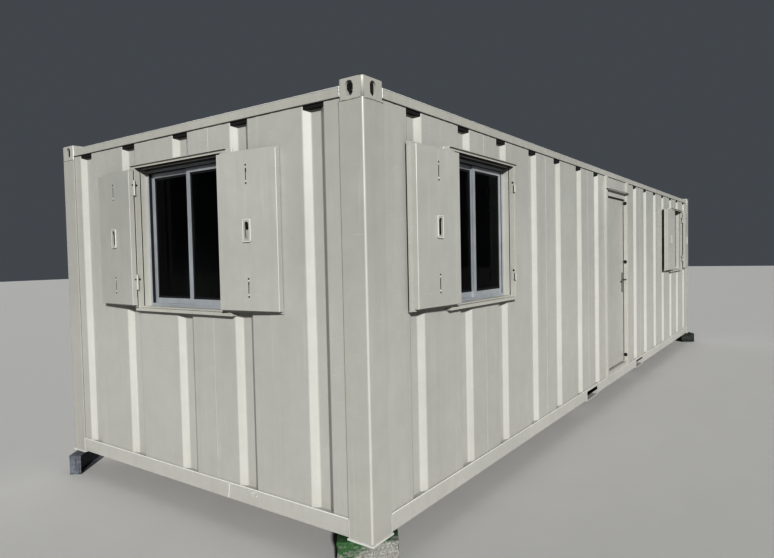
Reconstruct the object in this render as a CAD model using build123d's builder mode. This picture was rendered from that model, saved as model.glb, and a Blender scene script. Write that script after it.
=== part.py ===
from build123d import *
from math import cos, radians, sin
import os

os.makedirs("parts", exist_ok=True)

# A portable steel site cabin, 32 ft by 10 ft, standing level on four packers.
# Millimetres. +X runs along the door wall from the windowed end wall to the plain one, the door wall faces -Y.
# The origin lies on the ground under the middle of the cabin.
# "Inset" is measured inwards from the outer face of the corner posts, "height" from the ground.

# Overall sizes
length = 9750
width = 3050
body_height = 2450
support_height = 150

# Corner posts, castings and base plates
post_length = 178
post_width = 160
post_wall = 6
post_edge_radius = 12
casting_height = 113
casting_wall = 16
slot_height = 80
slot_width = 51
slot_inset = 89
top_slot_length = 124
top_slot_width = 63
base_plate_thickness = 12
base_plate_overhang = 8

# Rails
rail_height = 100
rail_depth = 60
rail_inset = 2
rail_sheet = 6
top_rail_height = 54
top_rail_depth = 60
top_rail_inset = 7
top_rail_wall = 4
top_rail_drop = 35

# Pressed wall sheet
sheet = 2
flat_inset = 12
recess_width = 160
recess_slope = 44
recess_depth = 30
wide_pitch = 605
narrow_pitch = 578

# Recess rows: distance of the first recess from the middle of the door bay, the first recess of an end wall
# from its front corner, and the least flat left beside a post
bay_middle = 16
bay_half = 847
end_first = 355
recess_margin = 40

# Floor, ceiling, roof and lining
floor_thickness = 48
floor_inset = 46
lining_inset = 80
lining_thickness = 12
ceiling_drop = 150
ceiling_thickness = 12
roof_thickness = 3
roof_trough_depth = 18
roof_trough_width = 60
roof_trough_slope = 20
roof_trough_pitch = 250
joist_pitch = 600
joist_flange = 50
joist_sheet = 4

# Fork pockets
pocket_spacing = 2080
pocket_width = 380
pocket_height = 104
pocket_wall = 10

# Windows
window_head_gap = 167
window_side_face = 40
window_face = 22
window_front = 30
jamb_width = 940
jamb_height = 976
jamb_depth = 40
jamb_step = 9
slider_inset = 60
slider_depth = 40
slider_rim = 20
sash_face = 37
sash_depth = 16
sash_overlap = 18
sash_setback = 6
glass_thickness = 4
drip_strip_height = 5
drip_strip_depth = 12
near_window_from_end = 1338
far_window_from_end = 1283
end_window_from_front = 1536

# Shutter leaves, each folded back until its free edge nearly touches the wall
leaf_gap = 5.5
leaf_meeting_gap = 7
leaf_lip = 35
leaf_lip_root = 14
leaf_thickness = 35
leaf_skin = 3
leaf_sheet = 2
leaf_skin_rim = 14
leaf_bend = 3
near_left_fold_angle = 183
far_left_fold_angle = 183
far_right_fold_angle = 183
end_left_fold_angle = 184.5
end_right_fold_angle = 186
latch_line = 235
latch_upper = 335
latch_lower = -331
latch_slot_length = 68
latch_slot_width = 9
collar_height = 133
collar_width = 58
collar_corner = 5
collar_rise = 8
collar_rise_above_middle = 5
collar_slot_height = 105
collar_slot_width = 32

# Shutter hinges
hinge_axis_front = 6
hinge_radius = 7.5
hinge_height = 105
hinge_split = 0.3
hinge_relief = 0.5
hinge_plate = 1.5
hinge_plate_depth = 36
hinge_upper = 351
hinge_lower = -309

# Door frame and door
door_middle = -26
door_opening = 834
door_post_width = 68
door_post_proud = 8
door_head_below_rail = 136
door_head_depth = 75
drip_bar_height = 12
drip_bar_slope = 4
drip_bar_depth = 30
threshold_height = 46
threshold_groove = 4
threshold_groove_heights = (14, 30)
door_tube_wall = 4
door_stop = 20
door_stop_depth = 10
door_inset = 42
door_thickness = 44
door_hinge_gap = 6
door_latch_gap = 8
door_threshold_gap = 7
door_head_gap = 6
door_hinge_radius = 6
door_hinge_height = 100
door_hinge_plate = 4
door_hinge_plate_length = 36
door_hinge_above_foot = 255
door_hinge_below_top = 204
door_pin_inset = 35
door_pin_from_leaf = 1
stud_diameter = 42
stud_thickness = 1
stud_inset = 18
stud_above_rail = 128
studs_below_head = (43, 760)

# Door handle
backplate_width = 45
backplate_height = 240
backplate_thickness = 6
backplate_from_edge = 55
handle_height = 1140
lever_rise = 35
lever_length = 125
lever_thickness = 16
lever_reach = 48

# Packers under the corners
block_length = 336
block_depth = 220
near_block_turn = -52.4
near_block_behind_end = 43
near_block_behind_front = 67
far_block_turn = 30
support_reach = 120
beam_length = 429
beam_width = 89
beam_flange = 8
beam_web = 6
beam_turn = 38

# Places worked out from the sizes above
x_left = -length / 2
x_right = length / 2
y_front = -width / 2
y_back = width / 2
z_base = support_height
z_post = z_base + base_plate_thickness
z_roof = z_base + body_height
z_casting = z_roof - casting_height
z_rail = z_post
z_wall = z_rail + rail_height
z_top_rail_top = z_roof - top_rail_drop
z_top_rail = z_top_rail_top - top_rail_height
wall_height = z_top_rail - z_wall
z_floor = z_wall + floor_thickness
z_ceiling = z_roof - ceiling_drop
window_frame_width = jamb_width + 2 * window_side_face
window_frame_height = jamb_height + 2 * window_face
z_window = z_top_rail - window_head_gap - window_frame_height / 2
near_window_x = x_left + near_window_from_end
far_window_x = x_right - far_window_from_end
end_window_y = y_front + end_window_from_front
lining_back = lining_inset + lining_thickness
door_left = door_middle - door_opening / 2
door_right = door_middle + door_opening / 2
frame_left = door_left - door_post_width
frame_right = door_right + door_post_width
z_threshold = z_wall + threshold_height
z_door_head_top = z_top_rail - door_head_below_rail
z_door_head = z_door_head_top - door_head_depth
leaf_width = (jamb_width - 2 * leaf_gap - leaf_meeting_gap) / 2


def recess_row(first, limit, pitches):
    """Recess places from the first one on, with two pitches by turns, as far as whole recesses fit."""
    places = []
    place = first
    while place + recess_width / 2 + recess_margin <= limit:
        places.append(place)
        place += pitches[len(places) % 2 - 1]
    return places


side_room = length / 2 - post_length
side_pitches = (narrow_pitch, wide_pitch)
right_recesses = [bay_middle + place for place in recess_row(bay_half, side_room - bay_middle, side_pitches)]
left_recesses = [bay_middle - place for place in reversed(recess_row(bay_half, side_room + bay_middle, side_pitches))]
side_recess_places = left_recesses + right_recesses
end_recess_places = recess_row(y_front + end_first, y_back - post_width, (wide_pitch, narrow_pitch))


def pressed_outline(start, finish, places):
    """Plan outline of a pressed sheet, as pairs of distance along the wall and inset."""
    face = [(start, flat_inset)]
    for place in places:
        left = place - recess_width / 2
        right = place + recess_width / 2
        face.append((left, flat_inset))
        face.append((left + recess_slope, flat_inset + recess_depth))
        face.append((right - recess_slope, flat_inset + recess_depth))
        face.append((right, flat_inset))
    face.append((finish, flat_inset))
    return face + [(along, inset + sheet) for along, inset in reversed(face)]


def window_plane(face, along):
    """Plane on the posts' outer face at a window's middle, +x to the right seen from outside, +z outwards."""
    if face == "front":
        return Plane(origin=(along, y_front, z_window), x_dir=(1, 0, 0), z_dir=(0, -1, 0))
    return Plane(origin=(x_left, along, z_window), x_dir=(0, -1, 0), z_dir=(-1, 0, 0))


near_window = window_plane("front", near_window_x)
far_window = window_plane("front", far_window_x)
end_window = window_plane("end", end_window_y)

# Corner posts: rolled box sections with one rounded outer edge
with BuildPart() as corner_posts:
    with BuildSketch(Plane.XY.offset(z_post)):
        with BuildLine():
            FilletPolyline(
                (x_left + post_length, y_front),
                (x_left, y_front),
                (x_left, y_front + post_width),
                radius=post_edge_radius,
            )
            Polyline(
                (x_left, y_front + post_width),
                (x_left + post_length, y_front + post_width),
                (x_left + post_length, y_front),
            )
        make_face()
        with Locations((x_left + post_length / 2, y_front + post_width / 2)):
            Rectangle(post_length - 2 * post_wall, post_width - 2 * post_wall, mode=Mode.SUBTRACT)
    extrude(amount=z_casting - z_post)
    mirror(about=Plane.YZ)
    mirror(about=Plane.XZ)
corner_posts.part.label = "corner_posts"
export_step(corner_posts.part, "parts/corner_posts.step")

# Corner castings: hollow blocks with a lifting slot in each outer face and an oval in the top
with BuildPart() as corner_castings:
    with BuildSketch(Plane.XY.offset(z_casting)):
        with BuildLine():
            FilletPolyline(
                (x_left + post_length, y_front),
                (x_left, y_front),
                (x_left, y_front + post_width),
                radius=post_edge_radius,
            )
            Polyline(
                (x_left, y_front + post_width),
                (x_left + post_length, y_front + post_width),
                (x_left + post_length, y_front),
            )
        make_face()
    extrude(amount=casting_height)
    with BuildSketch(Plane.XY.offset(z_casting + casting_wall)):
        with Locations((x_left + post_length / 2, y_front + post_width / 2)):
            Rectangle(post_length - 2 * casting_wall, post_width - 2 * casting_wall)
    extrude(amount=casting_height - 2 * casting_wall, mode=Mode.SUBTRACT)
    with BuildSketch(Plane.XY.offset(z_roof)):
        with Locations((x_left + post_length / 2, y_front + post_width / 2)):
            SlotOverall(top_slot_length, top_slot_width)
    extrude(amount=-casting_wall, mode=Mode.SUBTRACT)
    with BuildSketch(Plane.XZ.offset(-y_front)):
        with Locations((x_left + slot_inset, z_casting + casting_height / 2)):
            SlotOverall(slot_height, slot_width, rotation=90)
    extrude(amount=-casting_wall, mode=Mode.SUBTRACT)
    with BuildSketch(Plane.YZ.offset(x_left)):
        with Locations((y_front + slot_inset, z_casting + casting_height / 2)):
            SlotOverall(slot_height, slot_width, rotation=90)
    extrude(amount=casting_wall, mode=Mode.SUBTRACT)
    mirror(about=Plane.YZ)
    mirror(about=Plane.XZ)
corner_castings.part.label = "corner_castings"
export_step(corner_castings.part, "parts/corner_castings.step")

# Base plates under the posts
with BuildPart() as base_plates:
    with BuildSketch(Plane.XY.offset(z_base)):
        with Locations((x_left + post_length / 2, y_front + post_width / 2)):
            Rectangle(post_length + 2 * base_plate_overhang, post_width + 2 * base_plate_overhang)
    extrude(amount=base_plate_thickness)
    mirror(about=Plane.YZ)
    mirror(about=Plane.XZ)
base_plates.part.label = "base_plates"
export_step(base_plates.part, "parts/base_plates.step")

# Top rails: box sections between the castings, a little proud of the wall sheets
with BuildPart() as top_side_rails:
    with BuildSketch(Plane.YZ.offset(x_left + post_length)):
        with Locations((y_front + top_rail_inset + top_rail_depth / 2, z_top_rail + top_rail_height / 2)):
            Rectangle(top_rail_depth, top_rail_height)
            Rectangle(top_rail_depth - 2 * top_rail_wall, top_rail_height - 2 * top_rail_wall, mode=Mode.SUBTRACT)
    extrude(amount=length - 2 * post_length)
    mirror(about=Plane.XZ)
top_side_rails.part.label = "top_side_rails"
export_step(top_side_rails.part, "parts/top_side_rails.step")

with BuildPart() as top_end_rails:
    with BuildSketch(Plane.XZ.offset(-y_front - post_width)):
        with Locations((x_left + top_rail_inset + top_rail_depth / 2, z_top_rail + top_rail_height / 2)):
            Rectangle(top_rail_depth, top_rail_height)
            Rectangle(top_rail_depth - 2 * top_rail_wall, top_rail_height - 2 * top_rail_wall, mode=Mode.SUBTRACT)
    extrude(amount=-(width - 2 * post_width))
    mirror(about=Plane.YZ)
top_end_rails.part.label = "top_end_rails"
export_step(top_end_rails.part, "parts/top_end_rails.step")

# Bottom rails: channels open inwards, notched over the fork pockets
pocket_places = (-pocket_spacing / 2, pocket_spacing / 2)


def channel_outline(inset):
    """Section of a bottom rail as pairs of inset and height."""
    outer = inset
    tip = inset + rail_depth
    web = inset + rail_sheet
    return [
        (outer, z_rail),
        (tip, z_rail),
        (tip, z_rail + rail_sheet),
        (web, z_rail + rail_sheet),
        (web, z_wall - rail_sheet),
        (tip, z_wall - rail_sheet),
        (tip, z_wall),
        (outer, z_wall),
    ]


with BuildPart() as bottom_side_rails:
    with BuildSketch(Plane.YZ.offset(x_left + post_length)):
        with BuildLine():
            Polyline([(y_front + inset, height) for inset, height in channel_outline(rail_inset)], close=True)
        make_face()
    extrude(amount=length - 2 * post_length)
    with BuildSketch(Plane.XZ.offset(-y_front)):
        for place in pocket_places:
            with Locations((place, z_base + pocket_height / 2)):
                Rectangle(pocket_width, pocket_height)
    extrude(amount=-2 * rail_depth, mode=Mode.SUBTRACT)
    mirror(about=Plane.XZ)
bottom_side_rails.part.label = "bottom_side_rails"
export_step(bottom_side_rails.part, "parts/bottom_side_rails.step")

with BuildPart() as bottom_end_rails:
    with BuildSketch(Plane.XZ.offset(-y_front - post_width)):
        with BuildLine():
            Polyline([(x_left + inset, height) for inset, height in channel_outline(rail_inset)], close=True)
        make_face()
    extrude(amount=-(width - 2 * post_width))
    mirror(about=Plane.YZ)
bottom_end_rails.part.label = "bottom_end_rails"
export_step(bottom_end_rails.part, "parts/bottom_end_rails.step")

# Fork pockets: two open tubes across the whole width
with BuildPart() as fork_pockets:
    with BuildSketch(Plane.XZ.offset(-y_front)):
        for place in pocket_places:
            with Locations((place, z_base + pocket_height / 2)):
                Rectangle(pocket_width, pocket_height)
                Rectangle(pocket_width - 2 * pocket_wall, pocket_height - 2 * pocket_wall, mode=Mode.SUBTRACT)
    extrude(amount=-width)
fork_pockets.part.label = "fork_pockets"
export_step(fork_pockets.part, "parts/fork_pockets.step")

# Floor joists: light channels between the side rails, left out where a fork pocket runs
joist_count = int(length / 2 / joist_pitch)
joist_places = [
    (index + 0.5) * joist_pitch * side
    for index in range(joist_count)
    for side in (-1, 1)
    if abs((index + 0.5) * joist_pitch - pocket_spacing / 2) > pocket_width / 2 + joist_flange
    and (index + 0.5) * joist_pitch + joist_flange < length / 2 - post_length
]
joist_start = y_front + rail_inset + rail_depth
with BuildPart() as floor_joists:
    with BuildSketch(Plane.XZ.offset(-joist_start)):
        for place in joist_places:
            with Locations((place, z_rail + rail_height / 2)):
                Rectangle(joist_flange, rail_height)
            with Locations((place + joist_sheet, z_rail + rail_height / 2)):
                Rectangle(joist_flange, rail_height - 2 * joist_sheet, mode=Mode.SUBTRACT)
    extrude(amount=2 * joist_start)
floor_joists.part.label = "floor_joists"
export_step(floor_joists.part, "parts/floor_joists.step")


def notched_panel(inset):
    """Plan outline inside the walls at an inset, cut square around the four corner posts."""
    far_x = x_right - inset
    far_y = y_back - inset
    notch_x = x_right - post_length
    notch_y = y_back - post_width
    quarter = [(far_x, notch_y), (notch_x, notch_y), (notch_x, far_y)]
    return (
        quarter
        + [(-x, y) for x, y in reversed(quarter)]
        + [(-x, -y) for x, y in quarter]
        + [(x, -y) for x, y in reversed(quarter)]
    )


# Floor deck, cut round the feet of the door posts, and ceiling, cut round their tops
door_post_middles = ((frame_left + door_left) / 2, (frame_right + door_right) / 2)
with BuildPart() as floor_deck:
    with BuildSketch(Plane.XY.offset(z_wall)):
        with BuildLine():
            Polyline(notched_panel(floor_inset), close=True)
        make_face()
        for middle in door_post_middles:
            with Locations((middle, y_front + (floor_inset + lining_back) / 2)):
                Rectangle(door_post_width, lining_back - floor_inset, mode=Mode.SUBTRACT)
    extrude(amount=floor_thickness)
floor_deck.part.label = "floor_deck"
export_step(floor_deck.part, "parts/floor_deck.step")

with BuildPart() as ceiling_panel:
    with BuildSketch(Plane.XY.offset(z_ceiling)):
        with BuildLine():
            Polyline(notched_panel(lining_inset), close=True)
        make_face()
        for middle in door_post_middles:
            with Locations((middle, y_front + (lining_inset + lining_back) / 2)):
                Rectangle(door_post_width, lining_thickness, mode=Mode.SUBTRACT)
    extrude(amount=ceiling_thickness)
ceiling_panel.part.label = "ceiling_panel"
export_step(ceiling_panel.part, "parts/ceiling_panel.step")

# Roof: a thin sheet lying on the rails, with shallow troughs pressed down between the side rails
rail_inner = top_rail_inset + top_rail_depth
trough_count = int((length - 2 * post_length - roof_trough_pitch) / roof_trough_pitch)
trough_foot = roof_trough_width / 2 + roof_trough_slope
z_roof_sheet = z_top_rail_top + roof_thickness
with BuildPart() as roof_sheet:
    with BuildSketch(Plane.XZ.offset(-y_front - rail_inner)):
        with BuildLine():
            upper = [(x_left + post_length, z_roof_sheet)]
            for index in range(trough_count):
                middle = (index - (trough_count - 1) / 2) * roof_trough_pitch
                upper.append((middle - trough_foot, z_roof_sheet))
                upper.append((middle - roof_trough_width / 2, z_roof_sheet - roof_trough_depth))
                upper.append((middle + roof_trough_width / 2, z_roof_sheet - roof_trough_depth))
                upper.append((middle + trough_foot, z_roof_sheet))
            upper.append((x_right - post_length, z_roof_sheet))
            lower = [(x, height - roof_thickness) for x, height in reversed(upper)]
            Polyline(upper + lower, close=True)
        make_face()
    extrude(amount=-(width - 2 * rail_inner))
    with BuildSketch(Plane.XY.offset(z_top_rail_top)):
        for side in (-1, 1):
            with Locations((0, side * (width / 2 - (top_rail_inset + rail_inner) / 2))):
                Rectangle(length - 2 * post_length, top_rail_depth)
            with Locations((side * (length - post_length - top_rail_inset) / 2, 0)):
                Rectangle(post_length - top_rail_inset, width - 2 * post_width)
    extrude(amount=roof_thickness)
roof_sheet.part.label = "roof_sheet"
export_step(roof_sheet.part, "parts/roof_sheet.step")


def side_wall(label, start, finish, places, windows):
    """Pressed sheet of the door wall between two places, with holes for its windows."""
    with BuildPart() as wall:
        with BuildSketch(Plane.XY.offset(z_wall)):
            with BuildLine():
                Polyline(
                    [(along, y_front + inset) for along, inset in pressed_outline(start, finish, places)],
                    close=True,
                )
            make_face()
        extrude(amount=wall_height)
        for window in windows:
            with BuildSketch(window):
                Rectangle(window_frame_width, window_frame_height)
            extrude(amount=-lining_inset, mode=Mode.SUBTRACT)
    wall.part.label = label
    export_step(wall.part, "parts/" + label + ".step")


# Door wall: one sheet on each side of the door frame
side_wall("front_wall_left", x_left + post_length, frame_left, left_recesses, [near_window])
side_wall("front_wall_right", frame_right, x_right - post_length, right_recesses, [far_window])

# Back wall: the same pressed sheet from post to post, with no opening
with BuildPart() as back_wall:
    with BuildSketch(Plane.XY.offset(z_wall)):
        with BuildLine():
            Polyline(
                [
                    (along, y_back - inset)
                    for along, inset in pressed_outline(
                        x_left + post_length, x_right - post_length, side_recess_places
                    )
                ],
                close=True,
            )
        make_face()
    extrude(amount=wall_height)
back_wall.part.label = "back_wall"
export_step(back_wall.part, "parts/back_wall.step")

# End walls: the left one carries a window, the right one is plain
end_outline = pressed_outline(y_front + post_width, y_back - post_width, end_recess_places)
with BuildPart() as left_end_wall:
    with BuildSketch(Plane.XY.offset(z_wall)):
        with BuildLine():
            Polyline([(x_left + inset, along) for along, inset in end_outline], close=True)
        make_face()
    extrude(amount=wall_height)
    with BuildSketch(end_window):
        Rectangle(window_frame_width, window_frame_height)
    extrude(amount=-lining_inset, mode=Mode.SUBTRACT)
left_end_wall.part.label = "left_end_wall"
export_step(left_end_wall.part, "parts/left_end_wall.step")

with BuildPart() as right_end_wall:
    with BuildSketch(Plane.XY.offset(z_wall)):
        with BuildLine():
            Polyline([(x_right - inset, along) for along, inset in end_outline], close=True)
        make_face()
    extrude(amount=wall_height)
right_end_wall.part.label = "right_end_wall"
export_step(right_end_wall.part, "parts/right_end_wall.step")

# Wall over the doorway
with BuildPart() as front_wall_head:
    with BuildSketch(Plane.XZ.offset(-y_front - flat_inset)):
        with Locations((door_middle, (z_door_head_top + z_top_rail) / 2)):
            Rectangle(door_opening, z_top_rail - z_door_head_top)
    extrude(amount=-sheet)
front_wall_head.part.label = "front_wall_head"
export_step(front_wall_head.part, "parts/front_wall_head.step")

# Inner lining boards of the door wall, cut round the windows and the door frame
lining_height = z_ceiling - z_floor
with BuildPart() as front_lining:
    with BuildSketch(Plane.XZ.offset(-y_front - lining_inset)):
        for start, finish in ((x_left + post_length, frame_left), (frame_right, x_right - post_length)):
            with Locations(((start + finish) / 2, z_floor + lining_height / 2)):
                Rectangle(finish - start, lining_height)
        for place in (near_window_x, far_window_x):
            with Locations((place, z_window)):
                Rectangle(window_frame_width, window_frame_height, mode=Mode.SUBTRACT)
        with Locations((door_middle, (z_door_head_top + z_ceiling) / 2)):
            Rectangle(door_opening, z_ceiling - z_door_head_top)
    extrude(amount=-lining_thickness)
front_lining.part.label = "front_lining"
export_step(front_lining.part, "parts/front_lining.step")

with BuildPart() as back_lining:
    with BuildSketch(Plane.XZ.offset(-y_back + lining_inset)):
        with Locations((0, z_floor + lining_height / 2)):
            Rectangle(length - 2 * post_length, lining_height)
    extrude(amount=lining_thickness)
back_lining.part.label = "back_lining"
export_step(back_lining.part, "parts/back_lining.step")

with BuildPart() as end_linings:
    with BuildSketch(Plane.YZ.offset(x_left + lining_inset)):
        with Locations((0, z_floor + lining_height / 2)):
            Rectangle(width - 2 * post_width, lining_height)
        with Locations((end_window_y, z_window)):
            Rectangle(window_frame_width, window_frame_height, mode=Mode.SUBTRACT)
    extrude(amount=lining_thickness)
    with BuildSketch(Plane.YZ.offset(x_right - lining_inset)):
        with Locations((0, z_floor + lining_height / 2)):
            Rectangle(width - 2 * post_width, lining_height)
    extrude(amount=-lining_thickness)
end_linings.part.label = "end_linings"
export_step(end_linings.part, "parts/end_linings.step")


def make_window(name, face):
    """Steel sub-frame with its hinge jambs, aluminium slider and glass of one window."""
    with BuildPart() as frame:
        with BuildSketch(face.offset(window_front)):
            Rectangle(window_frame_width, window_frame_height)
            Rectangle(jamb_width, jamb_height, mode=Mode.SUBTRACT)
        extrude(amount=-jamb_depth)
        with BuildSketch(face.offset(window_front - jamb_depth)):
            Rectangle(window_frame_width, window_frame_height)
            Rectangle(jamb_width - 2 * jamb_step, jamb_height - 2 * jamb_step, mode=Mode.SUBTRACT)
        extrude(amount=-(lining_back - jamb_depth + window_front))
        with BuildSketch(face.offset(window_front)):
            with Locations((0, (window_frame_height - drip_strip_height) / 2)):
                Rectangle(window_frame_width, drip_strip_height)
        extrude(amount=drip_strip_depth)
    frame.part.label = name + "_window_frame"
    export_step(frame.part, "parts/" + name + "_window_frame.step")

    rim_width = jamb_width - 2 * jamb_step
    rim_height = jamb_height - 2 * jamb_step
    inner_width = rim_width - 2 * slider_rim
    inner_height = rim_height - 2 * slider_rim
    sash_width = (inner_width + 2 * sash_overlap) / 2
    with BuildPart() as slider:
        with BuildSketch(face.offset(-slider_inset)):
            Rectangle(rim_width, rim_height)
            Rectangle(inner_width, inner_height, mode=Mode.SUBTRACT)
        extrude(amount=-slider_depth)
        for side, depth in ((1, sash_setback), (-1, sash_setback + sash_depth)):
            with BuildSketch(face.offset(-slider_inset - depth)):
                with Locations((side * (inner_width - sash_width) / 2, 0)):
                    Rectangle(sash_width, inner_height)
                    Rectangle(sash_width - 2 * sash_face, inner_height - 2 * sash_face, mode=Mode.SUBTRACT)
            extrude(amount=-sash_depth)
    slider.part.label = name + "_window_slider"
    export_step(slider.part, "parts/" + name + "_window_slider.step")

    with BuildPart() as glass:
        for side, depth in ((1, sash_setback), (-1, sash_setback + sash_depth)):
            with BuildSketch(face.offset(-slider_inset - depth - (sash_depth - glass_thickness) / 2)):
                with Locations((side * (inner_width - sash_width) / 2, 0)):
                    Rectangle(sash_width - 2 * sash_face, inner_height - 2 * sash_face)
            extrude(amount=-glass_thickness)
    glass.part.label = name + "_window_glass"
    export_step(glass.part, "parts/" + name + "_window_glass.step")


make_window("near", near_window)
make_window("far", far_window)
make_window("end", end_window)

# Shutter hinges: each has a fixed half on the jamb and a moving half on the leaf, with the pin in front of
# the closed leaf's skin, so that an open leaf folds flat against the wall
hinge_axis = jamb_width / 2 - leaf_gap
hinge_front = window_front + hinge_axis_front
knuckle = (hinge_height - hinge_split) / 2


def level_plane(face, height):
    """Plane square to a face's upright, at a height along it, with +x along the face."""
    return Plane(origin=face.from_local_coords((0, height, 0)), x_dir=face.x_dir, z_dir=face.y_dir)


def make_fixed_hinges(name, face):
    """Jamb plates and lower knuckles of the four hinges of one window."""
    plate_middle = hinge_front - hinge_plate_depth / 2
    with BuildPart() as halves:
        for height in (hinge_upper, hinge_lower):
            for side in (-1, 1):
                with BuildSketch(level_plane(face, height - hinge_height / 2)):
                    with Locations((side * (jamb_width - hinge_plate) / 2, -plate_middle)):
                        Rectangle(hinge_plate, hinge_plate_depth)
                extrude(amount=hinge_height)
                with BuildSketch(level_plane(face, height - hinge_split / 2)):
                    with Locations((side * hinge_axis, -hinge_front)):
                        Circle(hinge_radius + hinge_relief)
                extrude(amount=hinge_height, mode=Mode.SUBTRACT)
                with BuildSketch(level_plane(face, height - hinge_height / 2)):
                    with Locations((side * hinge_axis, -hinge_front)):
                        Circle(hinge_radius)
                extrude(amount=knuckle)
    halves.part.label = name + "_shutter_hinges"
    export_step(halves.part, "parts/" + name + "_shutter_hinges.step")


make_fixed_hinges("near", near_window)
make_fixed_hinges("far", far_window)
make_fixed_hinges("end", end_window)


def fold_plane(face, side, fold_angle):
    """Plane of an open leaf: origin on its pin, +x from the pin to the free edge, +z towards its outer skin."""
    angle = radians(fold_angle)
    along = face.x_dir * (-side)
    return Plane(
        origin=face.from_local_coords((side * hinge_axis, 0, hinge_front)),
        x_dir=along * cos(angle) + face.z_dir * sin(angle),
        z_dir=along * (-sin(angle)) + face.z_dir * cos(angle),
    )


def make_leaf(label, face, side, fold_angle):
    """Hollow shutter leaf, folded back against the wall: outer skin, bent pan, latch slots and a raised collar.
    The left leaf carries a joggled strip that covers the meeting gap."""
    fold = fold_plane(face, side, fold_angle)
    up = -side
    skin_height = jamb_height - 2 * leaf_gap
    pan_height = skin_height - 2 * leaf_skin_rim
    skin_out = -hinge_axis_front
    pan_out = skin_out - leaf_skin
    pan_face = skin_out - leaf_thickness
    with BuildPart() as leaf:
        with BuildSketch(fold.offset(pan_out)):
            with Locations((leaf_width / 2, 0)):
                Rectangle(leaf_width, pan_height)
        extrude(amount=pan_face - pan_out)
        inner = leaf.faces().sort_by(Axis(fold.origin, fold.z_dir))[0]
        chamfer(inner.edges(), leaf_bend)
        with BuildSketch(fold.offset(pan_out)):
            with Locations((leaf_width / 2, 0)):
                Rectangle(leaf_width - 2 * leaf_sheet, pan_height - 2 * leaf_sheet)
        extrude(amount=pan_face - pan_out + leaf_sheet, mode=Mode.SUBTRACT)
        with BuildSketch(fold.offset(skin_out)):
            with Locations((leaf_width / 2, 0)):
                Rectangle(leaf_width, skin_height)
        extrude(amount=-leaf_skin)
        if side < 0:
            with BuildSketch(fold.offset(skin_out)):
                with Locations((leaf_width - leaf_lip_root / 2, 0)):
                    Rectangle(leaf_lip_root, skin_height)
            extrude(amount=leaf_gap)
            with BuildSketch(fold.offset(skin_out + leaf_gap)):
                with Locations((leaf_width + (leaf_lip - leaf_lip_root) / 2, 0)):
                    Rectangle(leaf_lip + leaf_lip_root, skin_height)
            extrude(amount=leaf_skin)
        with BuildSketch(fold.offset(pan_face)) as collar:
            with Locations((latch_line, up * collar_rise_above_middle)):
                Rectangle(collar_width, collar_height)
            chamfer(collar.vertices(), collar_corner)
        extrude(amount=-collar_rise)
        with BuildSketch(fold.offset(pan_face - collar_rise)):
            with Locations((latch_line, up * collar_rise_above_middle)):
                SlotOverall(collar_slot_height, collar_slot_width, rotation=90)
        extrude(amount=collar_rise + leaf_sheet, mode=Mode.SUBTRACT)
        with BuildSketch(fold.offset(pan_face)):
            for latch in (latch_upper, latch_lower):
                with Locations((latch_line, up * latch)):
                    Rectangle(latch_slot_width, latch_slot_length)
        extrude(amount=leaf_sheet, mode=Mode.SUBTRACT)
        for height in (hinge_upper, hinge_lower):
            with BuildSketch(level_plane(fold, up * height - hinge_height / 2)):
                with Locations((-hinge_plate / 2, hinge_plate_depth / 2)):
                    Rectangle(hinge_plate, hinge_plate_depth)
            extrude(amount=hinge_height)
            with BuildSketch(level_plane(fold, up * (height + hinge_split / 2))):
                Circle(hinge_radius + hinge_relief)
            extrude(amount=-up * hinge_height, mode=Mode.SUBTRACT)
            with BuildSketch(level_plane(fold, up * (height + hinge_split / 2))):
                Circle(hinge_radius)
            extrude(amount=up * knuckle)
    leaf.part.label = label
    export_step(leaf.part, "parts/" + label + ".step")


make_leaf("near_shutter_left", near_window, -1, near_left_fold_angle)
make_leaf("far_shutter_left", far_window, -1, far_left_fold_angle)
make_leaf("far_shutter_right", far_window, 1, far_right_fold_angle)
make_leaf("end_shutter_left", end_window, -1, end_left_fold_angle)
make_leaf("end_shutter_right", end_window, 1, end_right_fold_angle)

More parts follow.
